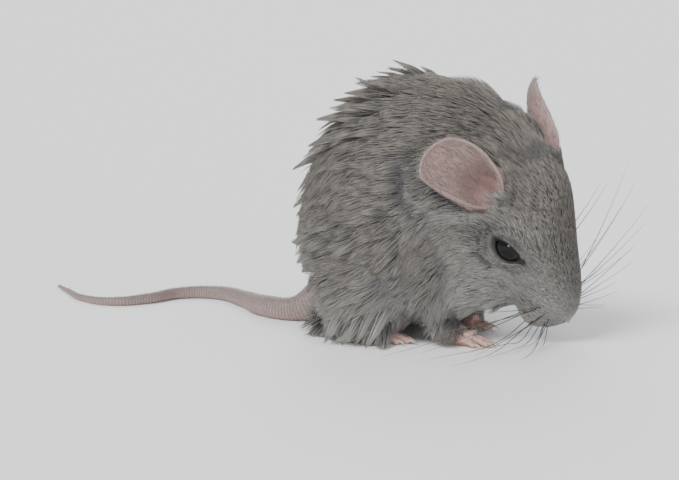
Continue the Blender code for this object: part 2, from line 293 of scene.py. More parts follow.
# ---- the skin: ears ------------------------------------------------------------------------------
# The pinna is a thin cupped leaf of skin with a rolled rim. Its edges curl round below to a funnel
# that grows out of the head, and two soft ridges run up inside it.

# The left ear's root, the way that it stands and the way that its cup opens, in the head's axes.
EAR_ROOT = Vector((-23.95, 7.1, 5.55))
EAR_AXIS, EAR_OPENING = Vector((-0.80, 0.59, -0.02)), Vector((0.36, 0.60, 0.72))
EAR_HEIGHT, EAR_WIDTH, EAR_WALL = 12.3, 8.8, 0.32
EAR_SUNK = 0.16  # the share of its height that is in the head
EAR_STEPS, EAR_LAST_ROW = 44, 0.993  # the last row ends short of the tip, where it has a width
# The share of its width at the foot, how far up it is widest, and how blunt each side's tip is.
EAR_FOOT, EAR_WIDEST, EAR_TIP = 0.30, 0.58, {1: 2.8, -1: 2.1}
EAR_CURL, EAR_TIP_CURL = 104, 30  # degrees, at the foot and all the way up
EAR_FOLD_FROM, EAR_FOLD_TURN = 0.70, 2.4  # the front rim folds over from here, this far in radians
EAR_RIDGES, EAR_RIDGE_HEIGHT, EAR_RIDGE_WIDTH = (-0.34, 0.12), 0.26, 0.09
# The left ear is held a little closer to the neck than the right one.
EAR_SETTLE = {1: Vector((0.03, -0.40, -0.20)), -1: Vector((0, 0, 0))}
BARE_FROM = 0.6  # mm up the leaf, where its skin is bare


def on_head(forward, left, up):
    """The place in the scene, in metres, of a place in the head's axes, in mm."""
    return nose_tip + (head_forward * forward + head_left * left + head_up * up) * MM


def mirrored(place, side):
    """A left place or way as it is on this side, which is 1 for left and -1 for right."""
    return place * Vector((1, side, 1))


def ear_axes(side):
    """The ear's own axes in the head's: up the leaf, across it and out of its cup."""
    axis, opening = mirrored(EAR_AXIS, side).normalized(), mirrored(EAR_OPENING, side)
    opening = (opening - axis * opening.dot(axis)).normalized()
    return axis, axis.cross(opening), opening


def rise_and_fall(share):
    """0 at 0 and at 1, and 1 midway."""
    return math.sin(math.pi * min(max(share, 0), 1))


def ear_leaf(side):
    """One pinna as a sheet: u runs across it from -1 to 1, and v up it from 0 to 1."""
    axis, across, opening = ear_axes(side)
    front = math.copysign(1, across.x)
    leaf = bmesh.new()
    bmesh.ops.create_grid(leaf, x_segments=EAR_STEPS, y_segments=EAR_STEPS, size=1)
    for vertex in leaf.verts:
        u, v = vertex.co.x, (vertex.co.y + 1) / 2 * EAR_LAST_ROW
        spread = math.sin(math.pi * min(v / EAR_WIDEST, 1) / 2)
        half_width = EAR_WIDTH / 2 * (EAR_FOOT + (1 - EAR_FOOT) * spread)
        if v > EAR_WIDEST:
            half_width *= max(1 - ((v - EAR_WIDEST) / (1 - EAR_WIDEST)) ** EAR_TIP[side], 0) ** 0.49
        curl = math.radians(EAR_CURL * (1 - v) ** 2 + EAR_TIP_CURL)
        radius = half_width / math.sin(min(curl, math.pi / 2))
        depth = radius * (1 - math.cos(u * curl)) - 0.18 * half_width
        lean = -0.6 * math.sin(math.pi * v * 0.8)
        rolled_rim = 0.5 * max(abs(u) - 0.86, 0) / 0.14 * rise_and_fall(v * 1.1)
        roll = max(u * front - EAR_FOLD_FROM, 0) / (1 - EAR_FOLD_FROM)
        turn = EAR_FOLD_TURN * roll * math.sqrt(rise_and_fall((v - 0.05) / 0.8))
        broad = half_width * (1 - EAR_FOLD_FROM) * roll
        bend = broad / turn if turn > 0.01 else 0
        ridges = sum(EAR_RIDGE_HEIGHT * math.exp(-((u - at) / EAR_RIDGE_WIDTH) ** 2)
                     for at in EAR_RIDGES)
        ridges *= rise_and_fall((v - 0.15) / 0.5)
        tip_fold = 0.32 * max(v - 0.86, 0) / 0.14
        place = axis * EAR_HEIGHT * (v - EAR_SUNK) + across * radius * math.sin(u * curl)
        place += opening * (depth + lean + rolled_rim * (u * front < 0) + ridges + tip_fold)
        if bend:
            outward = (across * math.cos(u * curl) + opening * math.sin(u * curl)) * front
            inward = opening * math.cos(u * curl) - across * math.sin(u * curl)
            fold = outward * (bend * math.sin(turn) - broad) + inward * bend * (1 - math.cos(turn))
            place += fold
        vertex.co = on_head(*(mirrored(EAR_ROOT, side) + EAR_SETTLE[side] + place))
    return leaf


def tree_of(points):
    """A tree that finds the nearest of these points."""
    tree = KDTree(len(points))
    for number, point in enumerate(points):
        tree.insert(point, number)
    tree.balance()
    return tree


ears, leaf_points = [], []
for side in (1, -1):
    ear = as_object("pinna", ear_leaf(side))
    finish_with(ear, "SOLIDIFY", thickness=EAR_WALL * MM, offset=0, use_even_offset=False)
    ears.append(ear)
    points, root = points_of(ear.data), mirrored(EAR_ROOT, side) + EAR_SETTLE[side]
    up_the_leaf = (in_head(points) - np.array(root)) @ np.array(ear_axes(side)[0])
    leaf_points.append(points[up_the_leaf > BARE_FROM])
leaf_tree = tree_of(np.vstack(leaf_points))  # to find the ears again in the one skin

# ---- the skin: paws ------------------------------------------------------------------------------
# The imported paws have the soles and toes. Remeshed finely and smoothed they get soft toe pads, and
# a wrist or ankle of flesh joins each to its leg.

PAWS = ["forepaw_left", "forepaw_right", "hind_foot_left", "hind_foot_right"]
PAW_VOXEL, PAW_SMOOTHING = 0.16 * MM, 4
paws = []
for node in PAWS:
    paw = as_object(node + "_flesh", solid_of(node))
    finish_with(paw, "REMESH", mode="VOXEL", voxel_size=PAW_VOXEL)
    soften(paw, PAW_SMOOTHING)
    paws.append(paw)

# ---- the skin: tail ------------------------------------------------------------------------------
# A tapering tail of nearly bare skin, which winds back along the floor. It is one smooth tube, and
# fine rings of scales are pressed into it.

# x, y and radius in mm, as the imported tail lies. Its root is sunk in the rump.
TAIL_ROUTE = [(-12.4, 0.44, 3.1), (-14.5, 0, 3.0), (-19.0, -2.4, 1.9), (-24.5, -2.2, 1.65),
              (-31, 2.0, 1.3), (-38, 5.0, 1.1), (-43.5, 2.6, 0.95), (-45.8, -3.4, 0.85),
              (-49.5, -7.4, 0.7), (-55.5, -7.0, 0.55), (-61.5, -3.2, 0.42), (-66.4, 0.4, 0.22)]
TAIL_ROOT_HEIGHTS = (6.2, 4.7)  # of the first two; from there on it lies on the floor
TAIL_FLATTEN = 0.92  # how high its middle lies, as a share of its radius
TAIL_STEPS = 52  # between two places of the route
SCALE_RING, RING_DEPTH, TAIL_OVER_FLOOR = 0.46, 0.028, 0.03  # mm


def smooth_tubes(name, routes, steps, thickness, roundness=4):
    """Closed tubes in one mesh, on splines through places of x, y, z and radius in mm. With no
    thickness they are bare lines."""
    curve = bpy.data.curves.new(name, "CURVE")
    curve.dimensions, curve.bevel_depth, curve.bevel_resolution = "3D", thickness * MM, roundness
    curve.resolution_u, curve.use_fill_caps = steps, True
    for route in routes:
        spline = curve.splines.new("BEZIER")
        spline.bezier_points.add(len(route) - 1)
        for point, (x, y, z, radius) in zip(spline.bezier_points, route):
            point.co, point.radius = Vector((x, y, z)) * MM, radius
            point.handle_left_type = point.handle_right_type = "AUTO"
    rope = placed(name, curve)
    drawn = rope.evaluated_get(bpy.context.evaluated_depsgraph_get())
    made = bpy.data.meshes.new_from_object(drawn)
    bpy.data.objects.remove(rope)
    return made


heights = [*TAIL_ROOT_HEIGHTS, *(radius * TAIL_FLATTEN for _, _, radius in TAIL_ROUTE[2:])]
tail_places = [(middle.x + x, middle.y + y, z, radius)
               for (x, y, radius), z in zip(TAIL_ROUTE, heights)]
tail_line = points_of(smooth_tubes("tail_line", [tail_places], TAIL_STEPS, 0))
tail_run = np.concatenate([[0], np.cumsum(np.linalg.norm(np.diff(tail_line, axis=0), axis=1))]) / MM
tail_tree = tree_of(tail_line)
tail_solid = bmesh.new()
tail_solid.from_mesh(smooth_tubes("tail_flesh", [tail_places], TAIL_STEPS, 1))
bmesh.ops.remove_doubles(tail_solid, verts=tail_solid.verts, dist=MERGE_GAP)
bmesh.ops.recalc_face_normals(tail_solid, faces=tail_solid.faces)
for vertex in tail_solid.verts:
    centre, number, radius = tail_tree.find(vertex.co)
    ring = RING_DEPTH * math.cos(2 * math.pi * tail_run[number] / SCALE_RING) * min(1, radius / MM)
    vertex.co += (vertex.co - centre).normalized() * ring * MM
    vertex.co.z = max(vertex.co.z, TAIL_OVER_FLOOR * MM)
tail = as_object("tail_flesh", tail_solid)

# ---- the skin: eyelids ---------------------------------------------------------------------------
# The eyes are half closed. Upper and lower lid are one ring of skin over the eyeball, with a round
# margin along the almond opening and a soft fold behind it, and it sinks into the head all round.

EYE_RADIUS = (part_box("eye_left")[1].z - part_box("eye_left")[0].z) / 2 / MM
OPENING_LENGTH, OPENING_HEIGHT = 2.3, 1.22  # half sizes in mm
LID_THICKNESS, LID_REACH, LID_FLATTEN = 0.26, 3.5, 0.86
LID_BEND = 0.16  # square mm; more is a softer bend where the lid meets the head
LID_CORNERS = 72
# Each step out from the margin: how far, in mm, and how high over the lid's own thickness.
LID_STEPS = [(-0.16, -0.42), (0.0, -0.12), (0.12, 0.04), (0.32, 0.10), (0.56, -0.03), (0.78, -0.07),
             (1.05, 0.03), (1.45, 0.0)]


def eye_axes(side):
    """Along the eye's opening towards the nose, over it, and out of the head."""
    out = (head_forward * 0.20 + head_left * 0.90 * side + head_up * 0.38).normalized()
    along = head_forward * 0.963 + head_up * 0.276
    along = (along - out * along.dot(out)).normalized()
    over = along.cross(out) * -side
    return along, over.normalized(), out


def almond(angle):
    """A point of the opening's margin: along and over, in mm from the middle of the eye."""
    lengthways = math.cos(angle)
    bulge = (1 - abs(lengthways) ** 2.3) ** 0.85
    return lengthways * OPENING_LENGTH, math.copysign(bulge, math.sin(angle)) * OPENING_HEIGHT


def eyelids(eye, side):
    """Both lids of one eye, as a ring whose inner side is sunk in the head."""
    along, over, out = eye_axes(side)
    head_tree = BVHTree.FromObject(skin, bpy.context.evaluated_depsgraph_get())

    def place(a, b, c):
        """The place that is so many mm along, over and out from the middle of the eye."""
        return eye + (along * a + over * b + out * c) * MM

    def skin_height(a, b):
        """How far out the head's own skin is there."""
        hit = head_tree.ray_cast(place(a, b, 8), -out)[0]
        return (hit - eye).dot(out) / MM

    def lid_height(a, b):
        """The higher of a lid over the eyeball and the head's skin, with a soft bend between."""
        over_ball = (EYE_RADIUS + LID_THICKNESS) ** 2 - a * a * LID_FLATTEN - b * b
        ball, ground = math.sqrt(max(over_ball, 0.0)), skin_height(a, b)
        return (ball + ground + math.sqrt((ball - ground) ** 2 + LID_BEND)) / 2

    rings = []
    for step in range(LID_CORNERS):
        angle = 2 * math.pi * (step + 0.5) / LID_CORNERS
        a, b = almond(angle)
        outward = Vector((a / OPENING_LENGTH**2, b / OPENING_HEIGHT**2)).normalized()
        outward = (outward + Vector((math.cos(angle), math.sin(angle))) * 0.6).normalized()
        profile = []
        for reach, rise in LID_STEPS:
            p, q = a + outward.x * reach, b + outward.y * reach
            profile.append((p, q, lid_height(p, q) + rise))
        p, q = profile[-1][:2]
        edge = Vector((p, q)).normalized() * LID_REACH
        halfway = (p + edge.x) / 2, (q + edge.y) / 2
        profile.append((*halfway, skin_height(*halfway) + 0.02))
        profile.append((edge.x, edge.y, skin_height(*edge) - 0.25))
        profile.append((edge.x, edge.y, skin_height(*edge) - 0.9))
        profile.append((*halfway, skin_height(*halfway) - 1.1))
        profile.append((a, b, lid_height(a, b) - 1.2))
        rings.append([place(*point) for point in profile])
    lid = bmesh.new()
    rows = [[lid.verts.new(point) for point in ring] for ring in rings]
    for first, second in zip(rows, rows[1:] + rows[:1]):
        for i in range(len(first)):
            j = (i + 1) % len(first)
            lid.faces.new((first[i], first[j], second[j], second[i]))
    bmesh.ops.recalc_face_normals(lid, faces=lid.faces)
    return as_object("eyelids", lid)


lids = [eyelids(left_eye, 1), eyelids(right_eye, -1)]

# ---- the skin: made one --------------------------------------------------------------------------
# Ears, lids, paws and tail grow out of the body's skin, and small swells of flesh join wrists and
# ankles. The joining can leave the faces in any order, so they are then put in a fixed one.

# For each swell: how far in front of the paw's heel end, how high and how big, in mm.
JOINTS = [("forepaw_left", 0.9, 1.9, 1.35), ("forepaw_right", 0.9, 1.9, 1.35),
          ("hind_foot_left", 2.1, 2.0, 1.7), ("hind_foot_right", 2.1, 2.0, 1.7)]


def flesh_joint(node, forward, up, radius):
    """A round of flesh between a paw and its leg."""
    low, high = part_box(node)
    centre = Vector((low.x + forward * MM, (low.y + high.y) / 2, up * MM))
    ball = bmesh.new()
    bmesh.ops.create_uvsphere(ball, u_segments=24, v_segments=14, radius=radius * MM,
                              matrix=Matrix.Translation(centre))
    return as_object(node + "_joint", ball)


def grow(body, limbs):
    """Joins the limbs to the body as one closed skin."""
    for limb in limbs:
        joined = body.modifiers.new("with_" + limb.name, "BOOLEAN")
        joined.operation, joined.solver, joined.object = "UNION", "MANIFOLD", limb
    evaluated = body.evaluated_get(bpy.context.evaluated_depsgraph_get())
    body.data = bpy.data.meshes.new_from_object(evaluated)
    body.modifiers.clear()
    for limb in limbs:
        bpy.data.objects.remove(limb)


def keep_largest(thing):
    """Drops the crumbs that the joining leaves."""
    solid = bmesh.new()
    solid.from_mesh(thing.data)
    left, pieces = set(solid.verts), []
    while left:
        piece, rim = set(), {left.pop()}
        while rim:
            vertex = rim.pop()
            piece.add(vertex)
            rim |= {edge.other_vert(vertex) for edge in vertex.link_edges} - piece
        left -= piece
        pieces.append(piece)
    crumbs = [vertex for piece in sorted(pieces, key=len)[:-1] for vertex in piece]
    bmesh.ops.delete(solid, geom=crumbs, context="VERTS")
    solid.to_mesh(thing.data)
    solid.free()


def in_order(mesh):
    """The same mesh with its points and faces in one fixed order."""
    points = points_of(mesh)
    order = np.lexsort(points.T)
    rank = np.empty(len(order), int)
    rank[order] = np.arange(len(order))
    faces = []
    for face in mesh.polygons:
        around = rank[list(face.vertices)].tolist()
        first = around.index(min(around))
        faces.append(around[first:] + around[:first])
    ordered = bpy.data.meshes.new(mesh.name)
    ordered.from_pydata(points[order].tolist(), [], sorted(faces))
    return ordered


grow(skin, [*ears, *lids, *paws, tail, *(flesh_joint(*joint) for joint in JOINTS)])
keep_largest(skin)
skin.data = in_order(skin.data)

# ---- the skin: nose and mouth --------------------------------------------------------------------
# The nose pad is bare, with two comma-shaped nostrils and a groove that runs from it down the split
# upper lip. The mouth is a fine line along the lower jaw.

MUZZLE_REACH, MUZZLE_CUTS, MUZZLE_SMOOTHING = 6.5, 2, 5  # the reach in mm from the tip of the nose
# Places forward, left and up, then the reach and depth of the dent.
NOSTRILS = [(-0.35, 0.62, 0.30, 0.48, 0.75), (-0.50, 0.92, 0.55, 0.38, 0.55),
            (-0.70, 1.18, 0.85, 0.30, 0.38), (-0.95, 1.34, 1.15, 0.24, 0.22)]
LIP_GROOVE = [(-0.25, 0, 0.1), (-0.5, 0, -0.5), (-0.9, 0, -1.15), (-1.3, 0, -1.9), (-2.0, 0, -2.9),
              (-3.0, 0, -3.6)]
MOUTH_LINE = [(-2.7, 0.3, -4.0), (-3.4, 1.1, -4.3), (-5.2, 2.15, -4.7), (-7.6, 3.3, -4.6)]
LIP_WIDTH, LIP_DEPTH, MOUTH_WIDTH, MOUTH_DEPTH = 0.5, 0.35, 0.75, 0.55
WHISKER_PAD, PAD_REACH, PAD_SWELL = Vector((-4.3, 3.1, -1.2)), 3.4, 0.55


def refine(thing, centre, reach, cuts):
    """Gives the skin round a place a finer mesh."""
    mesh = bmesh.new()
    mesh.from_mesh(thing.data)
    near = {v for v in mesh.verts if (v.co - centre).length < reach * MM}
    edges = [e for e in mesh.edges if e.verts[0] in near and e.verts[1] in near]
    bmesh.ops.subdivide_edges(mesh, edges=edges, cuts=cuts, use_grid_fill=True)
    near = [v for v in mesh.verts if (v.co - centre).length < (reach - 0.5) * MM]
    for _ in range(MUZZLE_SMOOTHING):
        bmesh.ops.smooth_vert(mesh, verts=near, factor=0.5,
                              use_axis_x=True, use_axis_y=True, use_axis_z=True)
    mesh.to_mesh(thing.data)
    mesh.free()


def settle(points, place):
    """The point of the skin that is nearest to a place in the head's axes."""
    local = in_head(points)
    return local[np.argmin(np.linalg.norm(local - np.array(place), axis=1))]


def press(points, normals, middle, reach, depth):
    """Dents the skin round a place in the head's axes, all in mm."""
    gap = np.linalg.norm(in_head(points) - settle(points, middle), axis=1) / reach
    share = np.clip(1 - gap**2, 0, 1) ** 2
    points -= normals * (depth * MM * share)[:, None]
    return share


def press_line(points, normals, route, reach, depth):
    """Dents a fine line through these places in the head's axes."""
    local = in_head(points)
    gap = np.full(len(points), np.inf)
    route = [settle(points, place) for place in route]
    for start, end in zip(route, route[1:]):
        run = np.clip((local - start) @ (end - start) / np.sum((end - start) ** 2), 0, 1)
        gap = np.minimum(gap, np.linalg.norm(local - start - run[:, None] * (end - start), axis=1))
    points -= normals * (depth * MM * np.clip(1 - (gap / reach) ** 2, 0, 1) ** 2)[:, None]


refine(skin, nose_tip, MUZZLE_REACH, MUZZLE_CUTS)
face_points, face_normals = points_of(skin.data), normals_of(skin.data)
in_nostril = np.zeros(len(face_points))
for side in (1, -1):
    for forward, left, up, reach, depth in NOSTRILS:
        dent = press(face_points, face_normals, (forward, left * side, up), reach, depth)
        in_nostril = np.maximum(in_nostril, dent)
    press(face_points, face_normals, mirrored(WHISKER_PAD, side), PAD_REACH, -PAD_SWELL)
    mouth = [(forward, left * side, up) for forward, left, up in MOUTH_LINE]
    press_line(face_points, face_normals, mouth, MOUTH_WIDTH, MOUTH_DEPTH)
press_line(face_points, face_normals, LIP_GROOVE, LIP_WIDTH, LIP_DEPTH)
move_to(skin.data, face_points)
skin.data.shade_smooth()

# ---- eyes ----------------------------------------------------------------------------------------
# Black, wet, bulging beads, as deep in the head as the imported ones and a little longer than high.
# A fine change of tone from place to place keeps them from looking like paint.

EYE_STRETCH, EYE_SIDES, EYE_ROWS = 1.07, 48, 32
EYE_DARK, EYE_LIGHT = (0.0015, 0.0013, 0.0013), (0.006, 0.004, 0.0035)


def feed(tree, socket, value):
    """Gives a socket a number, a place, a colour or what another socket puts out."""
    if isinstance(value, bpy.types.NodeSocket):
        tree.links.new(value, socket)
    else:
        socket.default_value = (*value, 1) if isinstance(value, tuple) else value


def new_node(tree, kind, values, **settings):
    """A node with these settings whose sockets are fed these values."""
    node = tree.nodes.new("ShaderNode" + kind)
    for key, value in settings.items():
        setattr(node, key, value)
    for socket, value in values.items():
        feed(tree, node.inputs[socket], value)
    return node


def object_place(tree):
    """The place on the object, in metres."""
    return new_node(tree, "TexCoord", {}).outputs["Object"]


def noise(tree, scale, detail=2.0):
    """Noise of this many waves to a metre in the object's own place."""
    values = {"Scale": float(scale), "Detail": detail, "Vector": object_place(tree)}
    return new_node(tree, "TexNoise", values).outputs["Fac"]


def ramp(tree, share, stops):
    """The colour that this share has on a run of colours, each with its place."""
    node = new_node(tree, "ValToRGB", {"Fac": share})
    elements = node.color_ramp.elements
    while len(elements) < len(stops):
        elements.new(0.5)
    for element, (place, colour) in zip(elements, stops):
        element.position, element.color = place, (*colour, 1)
    return node.outputs["Color"]


def flecked(name, values, scale, dark, light):
    """A material whose colour wavers between these two."""
    paint, tree, shader = new_paint(name, values)
    colour = ramp(tree, noise(tree, scale), [(0.0, dark), (1.0, light)])
    feed(tree, shader.inputs["Base Color"], colour)
    return paint


wet_black = flecked("wet_black_eye", {"Roughness": 0.05, "IOR": 1.38, "Specular IOR Level": 0.4},
                    2600, EYE_DARK, EYE_LIGHT)
for name, eye, side in (("left", left_eye, 1), ("right", right_eye, -1)):
    along, over, out = eye_axes(side)
    turn = Matrix((along, over, out)).transposed().to_4x4()
    ball = bmesh.new()
    bmesh.ops.create_uvsphere(ball, u_segments=EYE_SIDES, v_segments=EYE_ROWS,
                              radius=EYE_RADIUS * MM)
    for vertex in ball.verts:
        vertex.co.x *= EYE_STRETCH
    bmesh.ops.transform(ball, matrix=Matrix.Translation(eye) @ turn, verts=ball.verts)
    bmesh.ops.recalc_face_normals(ball, faces=ball.faces)
    eyeball = as_object(f"eyeball_{name}", ball)
    eyeball.data = in_order(eyeball.data)
    eyeball.data.shade_smooth()
    eyeball.data.materials.append(wet_black)
    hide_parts(f"eye_{name}")
    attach(eyeball, "root")

# ---- claws ---------------------------------------------------------------------------------------
# Small curved claws of horn, one at the end of each toe. There are four on a forepaw and five on a
# hind foot, and their roots are sunk in the toes.

FORE_TOES, HIND_TOES = (2.6, 3.6, 3.6, 2.9), (3.0, 4.6, 5.0, 4.6, 3.0)
# x, y and heading of the heel, the sole's length, its half width and the toes' lengths, in mm and
# degrees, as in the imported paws.
PAW_FORMS = {"forepaw_left": (4.0, 5.4, -4, 3.2, 1.5, FORE_TOES),
             "forepaw_right": (8.6, -5.4, 6, 3.2, 1.5, FORE_TOES),
             "hind_foot_left": (-11.0, 8.4, 2, 10.5, 1.7, HIND_TOES),
             "hind_foot_right": (-11.0, -8.4, -2, 10.5, 1.7, HIND_TOES)}
TOE_FAN = 17  # degrees that the outer toes turn out
CLAW_LENGTH, CLAW_ROOT, CLAW_TIP, CLAW_SUNK = 1.7, 0.25, 0.04, 0.35  # mm
CLAW_HEIGHT, CLAW_ARCH, CLAW_DROP, CLAW_OVER_FLOOR = 0.50, 0.18, 0.42, 0.06
CLAW_ROWS, CLAW_SIDES = 7, 10


def claw(x, y, heading):
    """One claw as a bent cone, in metres, from the end of its toe in mm and its heading."""
    horn = bmesh.new()
    bmesh.ops.create_cone(horn, cap_ends=True, segments=CLAW_SIDES, radius1=CLAW_ROOT * MM,
                          radius2=CLAW_TIP * MM, depth=CLAW_LENGTH * MM)
    lengthwise = [e for e in horn.edges if abs(e.verts[0].co.z - e.verts[1].co.z) > MM]
    bmesh.ops.subdivide_edges(horn, edges=lengthwise, cuts=CLAW_ROWS - 2, use_grid_fill=True)
    turn = math.radians(heading)
    for vertex in horn.verts:
        run = vertex.co.z / MM / CLAW_LENGTH + 0.5
        forward, sideways = run * CLAW_LENGTH - CLAW_SUNK, vertex.co.y / MM
        arch = CLAW_ARCH * math.sin(math.pi * run) - CLAW_DROP * run**2
        height = CLAW_HEIGHT + arch + vertex.co.x / MM
        vertex.co = Vector((x + math.cos(turn) * forward - math.sin(turn) * sideways,
                            y + math.sin(turn) * forward + math.cos(turn) * sideways,
                            max(height, CLAW_OVER_FLOOR))) * MM
    bmesh.ops.recalc_face_normals(horn, faces=horn.faces)
    return horn


def claws_of(node, x, y, heading, sole, half, toes):
    """All claws of a paw as one object."""
    paw = Matrix.Translation(middle + Vector((x, y, 0)))
    paw = paw @ Matrix.Rotation(math.radians(heading), 4, "Z")
    middle_toe = (len(toes) - 1) / 2
    all_claws = bmesh.new()
    for number, length in enumerate(toes):
        spread = (number - middle_toe) / middle_toe
        turn = -TOE_FAN * spread
        way = Vector((math.cos(math.radians(turn)), math.sin(math.radians(turn)), 0))
        root = Vector((sole - 1.0 - abs(spread) * half * 0.7, -spread * half * 0.72, 0))
        tip = paw @ (root + way * length)
        add_to(all_claws, claw(tip.x, tip.y, turn + heading))
    claws = as_object("claws_" + node, all_claws)
    claws.data.shade_smooth()
    return claws


horn = flecked("horn", {"Roughness": 0.32}, 1800, (0.42, 0.33, 0.26), (0.66, 0.56, 0.46))
for node, form in PAW_FORMS.items():
    claws = claws_of(node, *form)
    claws.data.materials.append(horn)
    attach(claws, "root")

# ---- the skin: where fur grows -------------------------------------------------------------------
# Fur covers all but the nose pad, the rims of the lids, the insides of the ears, the paws and the
# tail. The belly and the insides of the legs are paler than the back.

TAIL_NODES = ["tail_1", "tail_2", "tail_3", "tail_4"]
LID_RIM = 1.09  # how far the bare rim of the lids reaches, in sizes of the opening
# Half sizes, in mm, of the rim's drawn-out corners and of the nose pad, and how far their middles
# are ahead of the eye's and above the tip of the nose.
LID_CORNER_LENGTH, LID_CORNER_HEIGHT, LID_CORNER_AHEAD = 3.0, 0.85, 0.3
NOSE_PAD_WIDTH, NOSE_PAD_HEIGHT, NOSE_PAD_UP = 1.6, 1.35, 0.2
# The ear's cup gets painted shade, darkest this far up the leaf.
FUNNEL_UP = 0.8  # mm up the leaf, where the ear's funnel is darkest


def paleness(points, up):
    """How pale the coat is: 0 on the back, 1 under the belly."""
    below = fade(up[:, 2], 0.15, -0.75)
    low = fade(points[:, 2], 13 * MM, 2 * MM)
    return np.clip(0.75 * below + 0.35 * low * (below > 0), 0, 1)


def lid_reach(points):
    """How far each point is from the middle of the nearer eye, in sizes of its opening."""
    nearest = np.full(len(points), np.inf)
    for eye, side in ((left_eye, 1), (right_eye, -1)):
        gap = (points - np.array(eye)) @ np.array(eye_axes(side)).T / MM
        reach = np.hypot(gap[:, 0] / OPENING_LENGTH, gap[:, 1] / OPENING_HEIGHT)
        corner_reach = np.hypot((gap[:, 0] - LID_CORNER_AHEAD) / LID_CORNER_LENGTH,
                                gap[:, 1] / LID_CORNER_HEIGHT)
        reach = np.minimum(reach, corner_reach * LID_RIM)
        nearest = np.minimum(nearest, np.where(gap[:, 2] > 0, reach, np.inf))
    return nearest


def in_ear_cup(points, facing):
    """1 inside the cup of an ear and at its mouth, 0 elsewhere."""
    found = np.zeros(len(points))
    for side in (1, -1):
        gap = in_head(points) - np.array(mirrored(EAR_ROOT, side))
        axes = np.array(ear_axes(side)).T
        up, across, out = (gap @ axes).T
        faces_out = (facing @ head_axes.T @ axes)[:, 2]
        inside = fade(np.abs(across), 4.2, 3.2) * fade(out, -2.4, -1.8) * fade(out, 4.2, 3.2)
        found = np.maximum(found, inside * fade(up, -2.2, -1.2) * fade(faces_out, -0.1, 0.2))
    return found


def ear_funnel_shade(points):
    """1 at the bottom of an ear's cup, 0 at its rim: where shade is painted on the ear."""
    nearest = np.full(len(points), np.inf)
    for side in (1, -1):
        bottom = mirrored(EAR_ROOT, side) + ear_axes(side)[0] * FUNNEL_UP
        nearest = np.minimum(nearest, np.linalg.norm(in_head(points) - np.array(bottom), axis=1))
    return fade(nearest, 5.2, 1.6)


skin_points, skin_normals = points_of(skin.data), normals_of(skin.data)
forward_on_head, left_on_head, up_on_head = in_head(skin_points).T
shares = region_shares(skin_points)
leaf_gap = np.fromiter((leaf_tree.find(point)[2] for point in skin_points), float, len(skin_points))
bare = np.minimum(distances(skin_points, [*BARE_NODES, *TAIL_NODES[1:]]), leaf_gap)
ear_gap = np.minimum(distances(skin_points, ["ear_left", "ear_right"]), leaf_gap)
nose_gap = distances(skin_points, ["nose"])
tail_gap = distances(skin_points, TAIL_NODES)
reach_of_lids, ear_cup = lid_reach(skin_points), in_ear_cup(skin_points, skin_normals)
tail_place = np.fromiter((tail_tree.find(point)[1] for point in skin_points), int, len(skin_points))
pad_reach = np.hypot(left_on_head / NOSE_PAD_WIDTH, (up_on_head - NOSE_PAD_UP) / NOSE_PAD_HEIGHT)

# Limits in mm on the head are from the tip of the nose, less than 0 behind it.
nose_pad_mark = fade(nose_gap, 0.35 * MM, 0.1 * MM) * fade(forward_on_head, -2.6, -1.9)
nose_pad_mark *= fade(pad_reach, 1.15, 0.9)
not_nose = [node for node in BARE_NODES if node != "nose"]
bare_gap = np.minimum(distances(skin_points, [*not_nose, *TAIL_NODES[1:]]), leaf_gap)
furred = fade(bare_gap, 0.2 * MM, 0.9 * MM) * (tail_gap > 0.5 * MM)
furred *= (1 - ear_cup) * fade(nose_pad_mark, 0.6, 0.1)
grows = furred * fade(reach_of_lids, LID_RIM, LID_RIM + 0.1)

skin_marks = {"furred": furred, "face": shares["face"], "pale": paleness(skin_points, skin_normals),
              "ear": np.maximum(fade(ear_gap, 0.6 * MM, 0.1 * MM), ear_cup),
              # The funnel mark places painted shade deep in the ears' cups.
              "funnel_shade": ear_funnel_shade(skin_points), "nose_pad": nose_pad_mark,
              # Near black: the lids' own black rims, and painted shade inside the nostrils.
              "black_rim_and_nostril_shade": np.maximum(fade(reach_of_lids, LID_RIM + 0.1, LID_RIM - 0.05),
                                       fade(in_nostril, 0.08, 0.45)),
              "tail": fade(tail_gap, 0.9 * MM, 0.2 * MM), "tail_run": tail_run[tail_place]}


def set_mark(mesh, name, values):
    """Writes one value for each point of the mesh."""
    attribute = mesh.attributes.new(name, "FLOAT", "POINT")
    attribute.data.foreach_set("value", values.ravel().astype(np.float32))


for name, values in skin_marks.items():
    set_mark(skin.data, name, values)

# ---- the coat: length and lie --------------------------------------------------------------------
# The fur is short and smooth on the face. On back, flanks and haunches it is longer and falls into
# pointed locks, all lying from the nose towards the tail and hanging a little down the sides.

# For each region: tufts on a square mm, their length, width and rise in mm, and how far, from 0 to
# 1, they draw together into locks.
FUR = {"face": (34, 1.65, 0.115, 0.38, 0.22), "neck": (22, 4.0, 0.165, 1.0, 0.70),
       "trunk": (20, 5.4, 0.19, 1.35, 0.88), "haunch": (20, 4.9, 0.185, 1.25, 0.88),
       "foreleg": (24, 2.5, 0.145, 0.55, 0.50)}
UNWRAP_ANGLE, UNWRAP_MARGIN = math.radians(75), 0.002
draw = np.random.default_rng(11)

bpy.context.view_layer.objects.active = skin
skin.select_set(True)
bpy.ops.object.mode_set(mode="EDIT")
bpy.ops.mesh.select_all(action="SELECT")
bpy.ops.uv.smart_project(angle_limit=UNWRAP_ANGLE, island_margin=UNWRAP_MARGIN)
bpy.ops.object.mode_set(mode="OBJECT")

skin.data.calc_loop_triangles()
corners = values_of(skin.data.loop_triangles, "vertices", 3, np.int32)
corner_loops = values_of(skin.data.loop_triangles, "loops", 3, np.int32)
skin_uv = values_of(skin.data.uv_layers.active.data, "uv", 2)


def coat_value(column):
    """A column of the table above on every point of the skin."""
    return sum(shares[name] * FUR[name][column] for name in FUR)


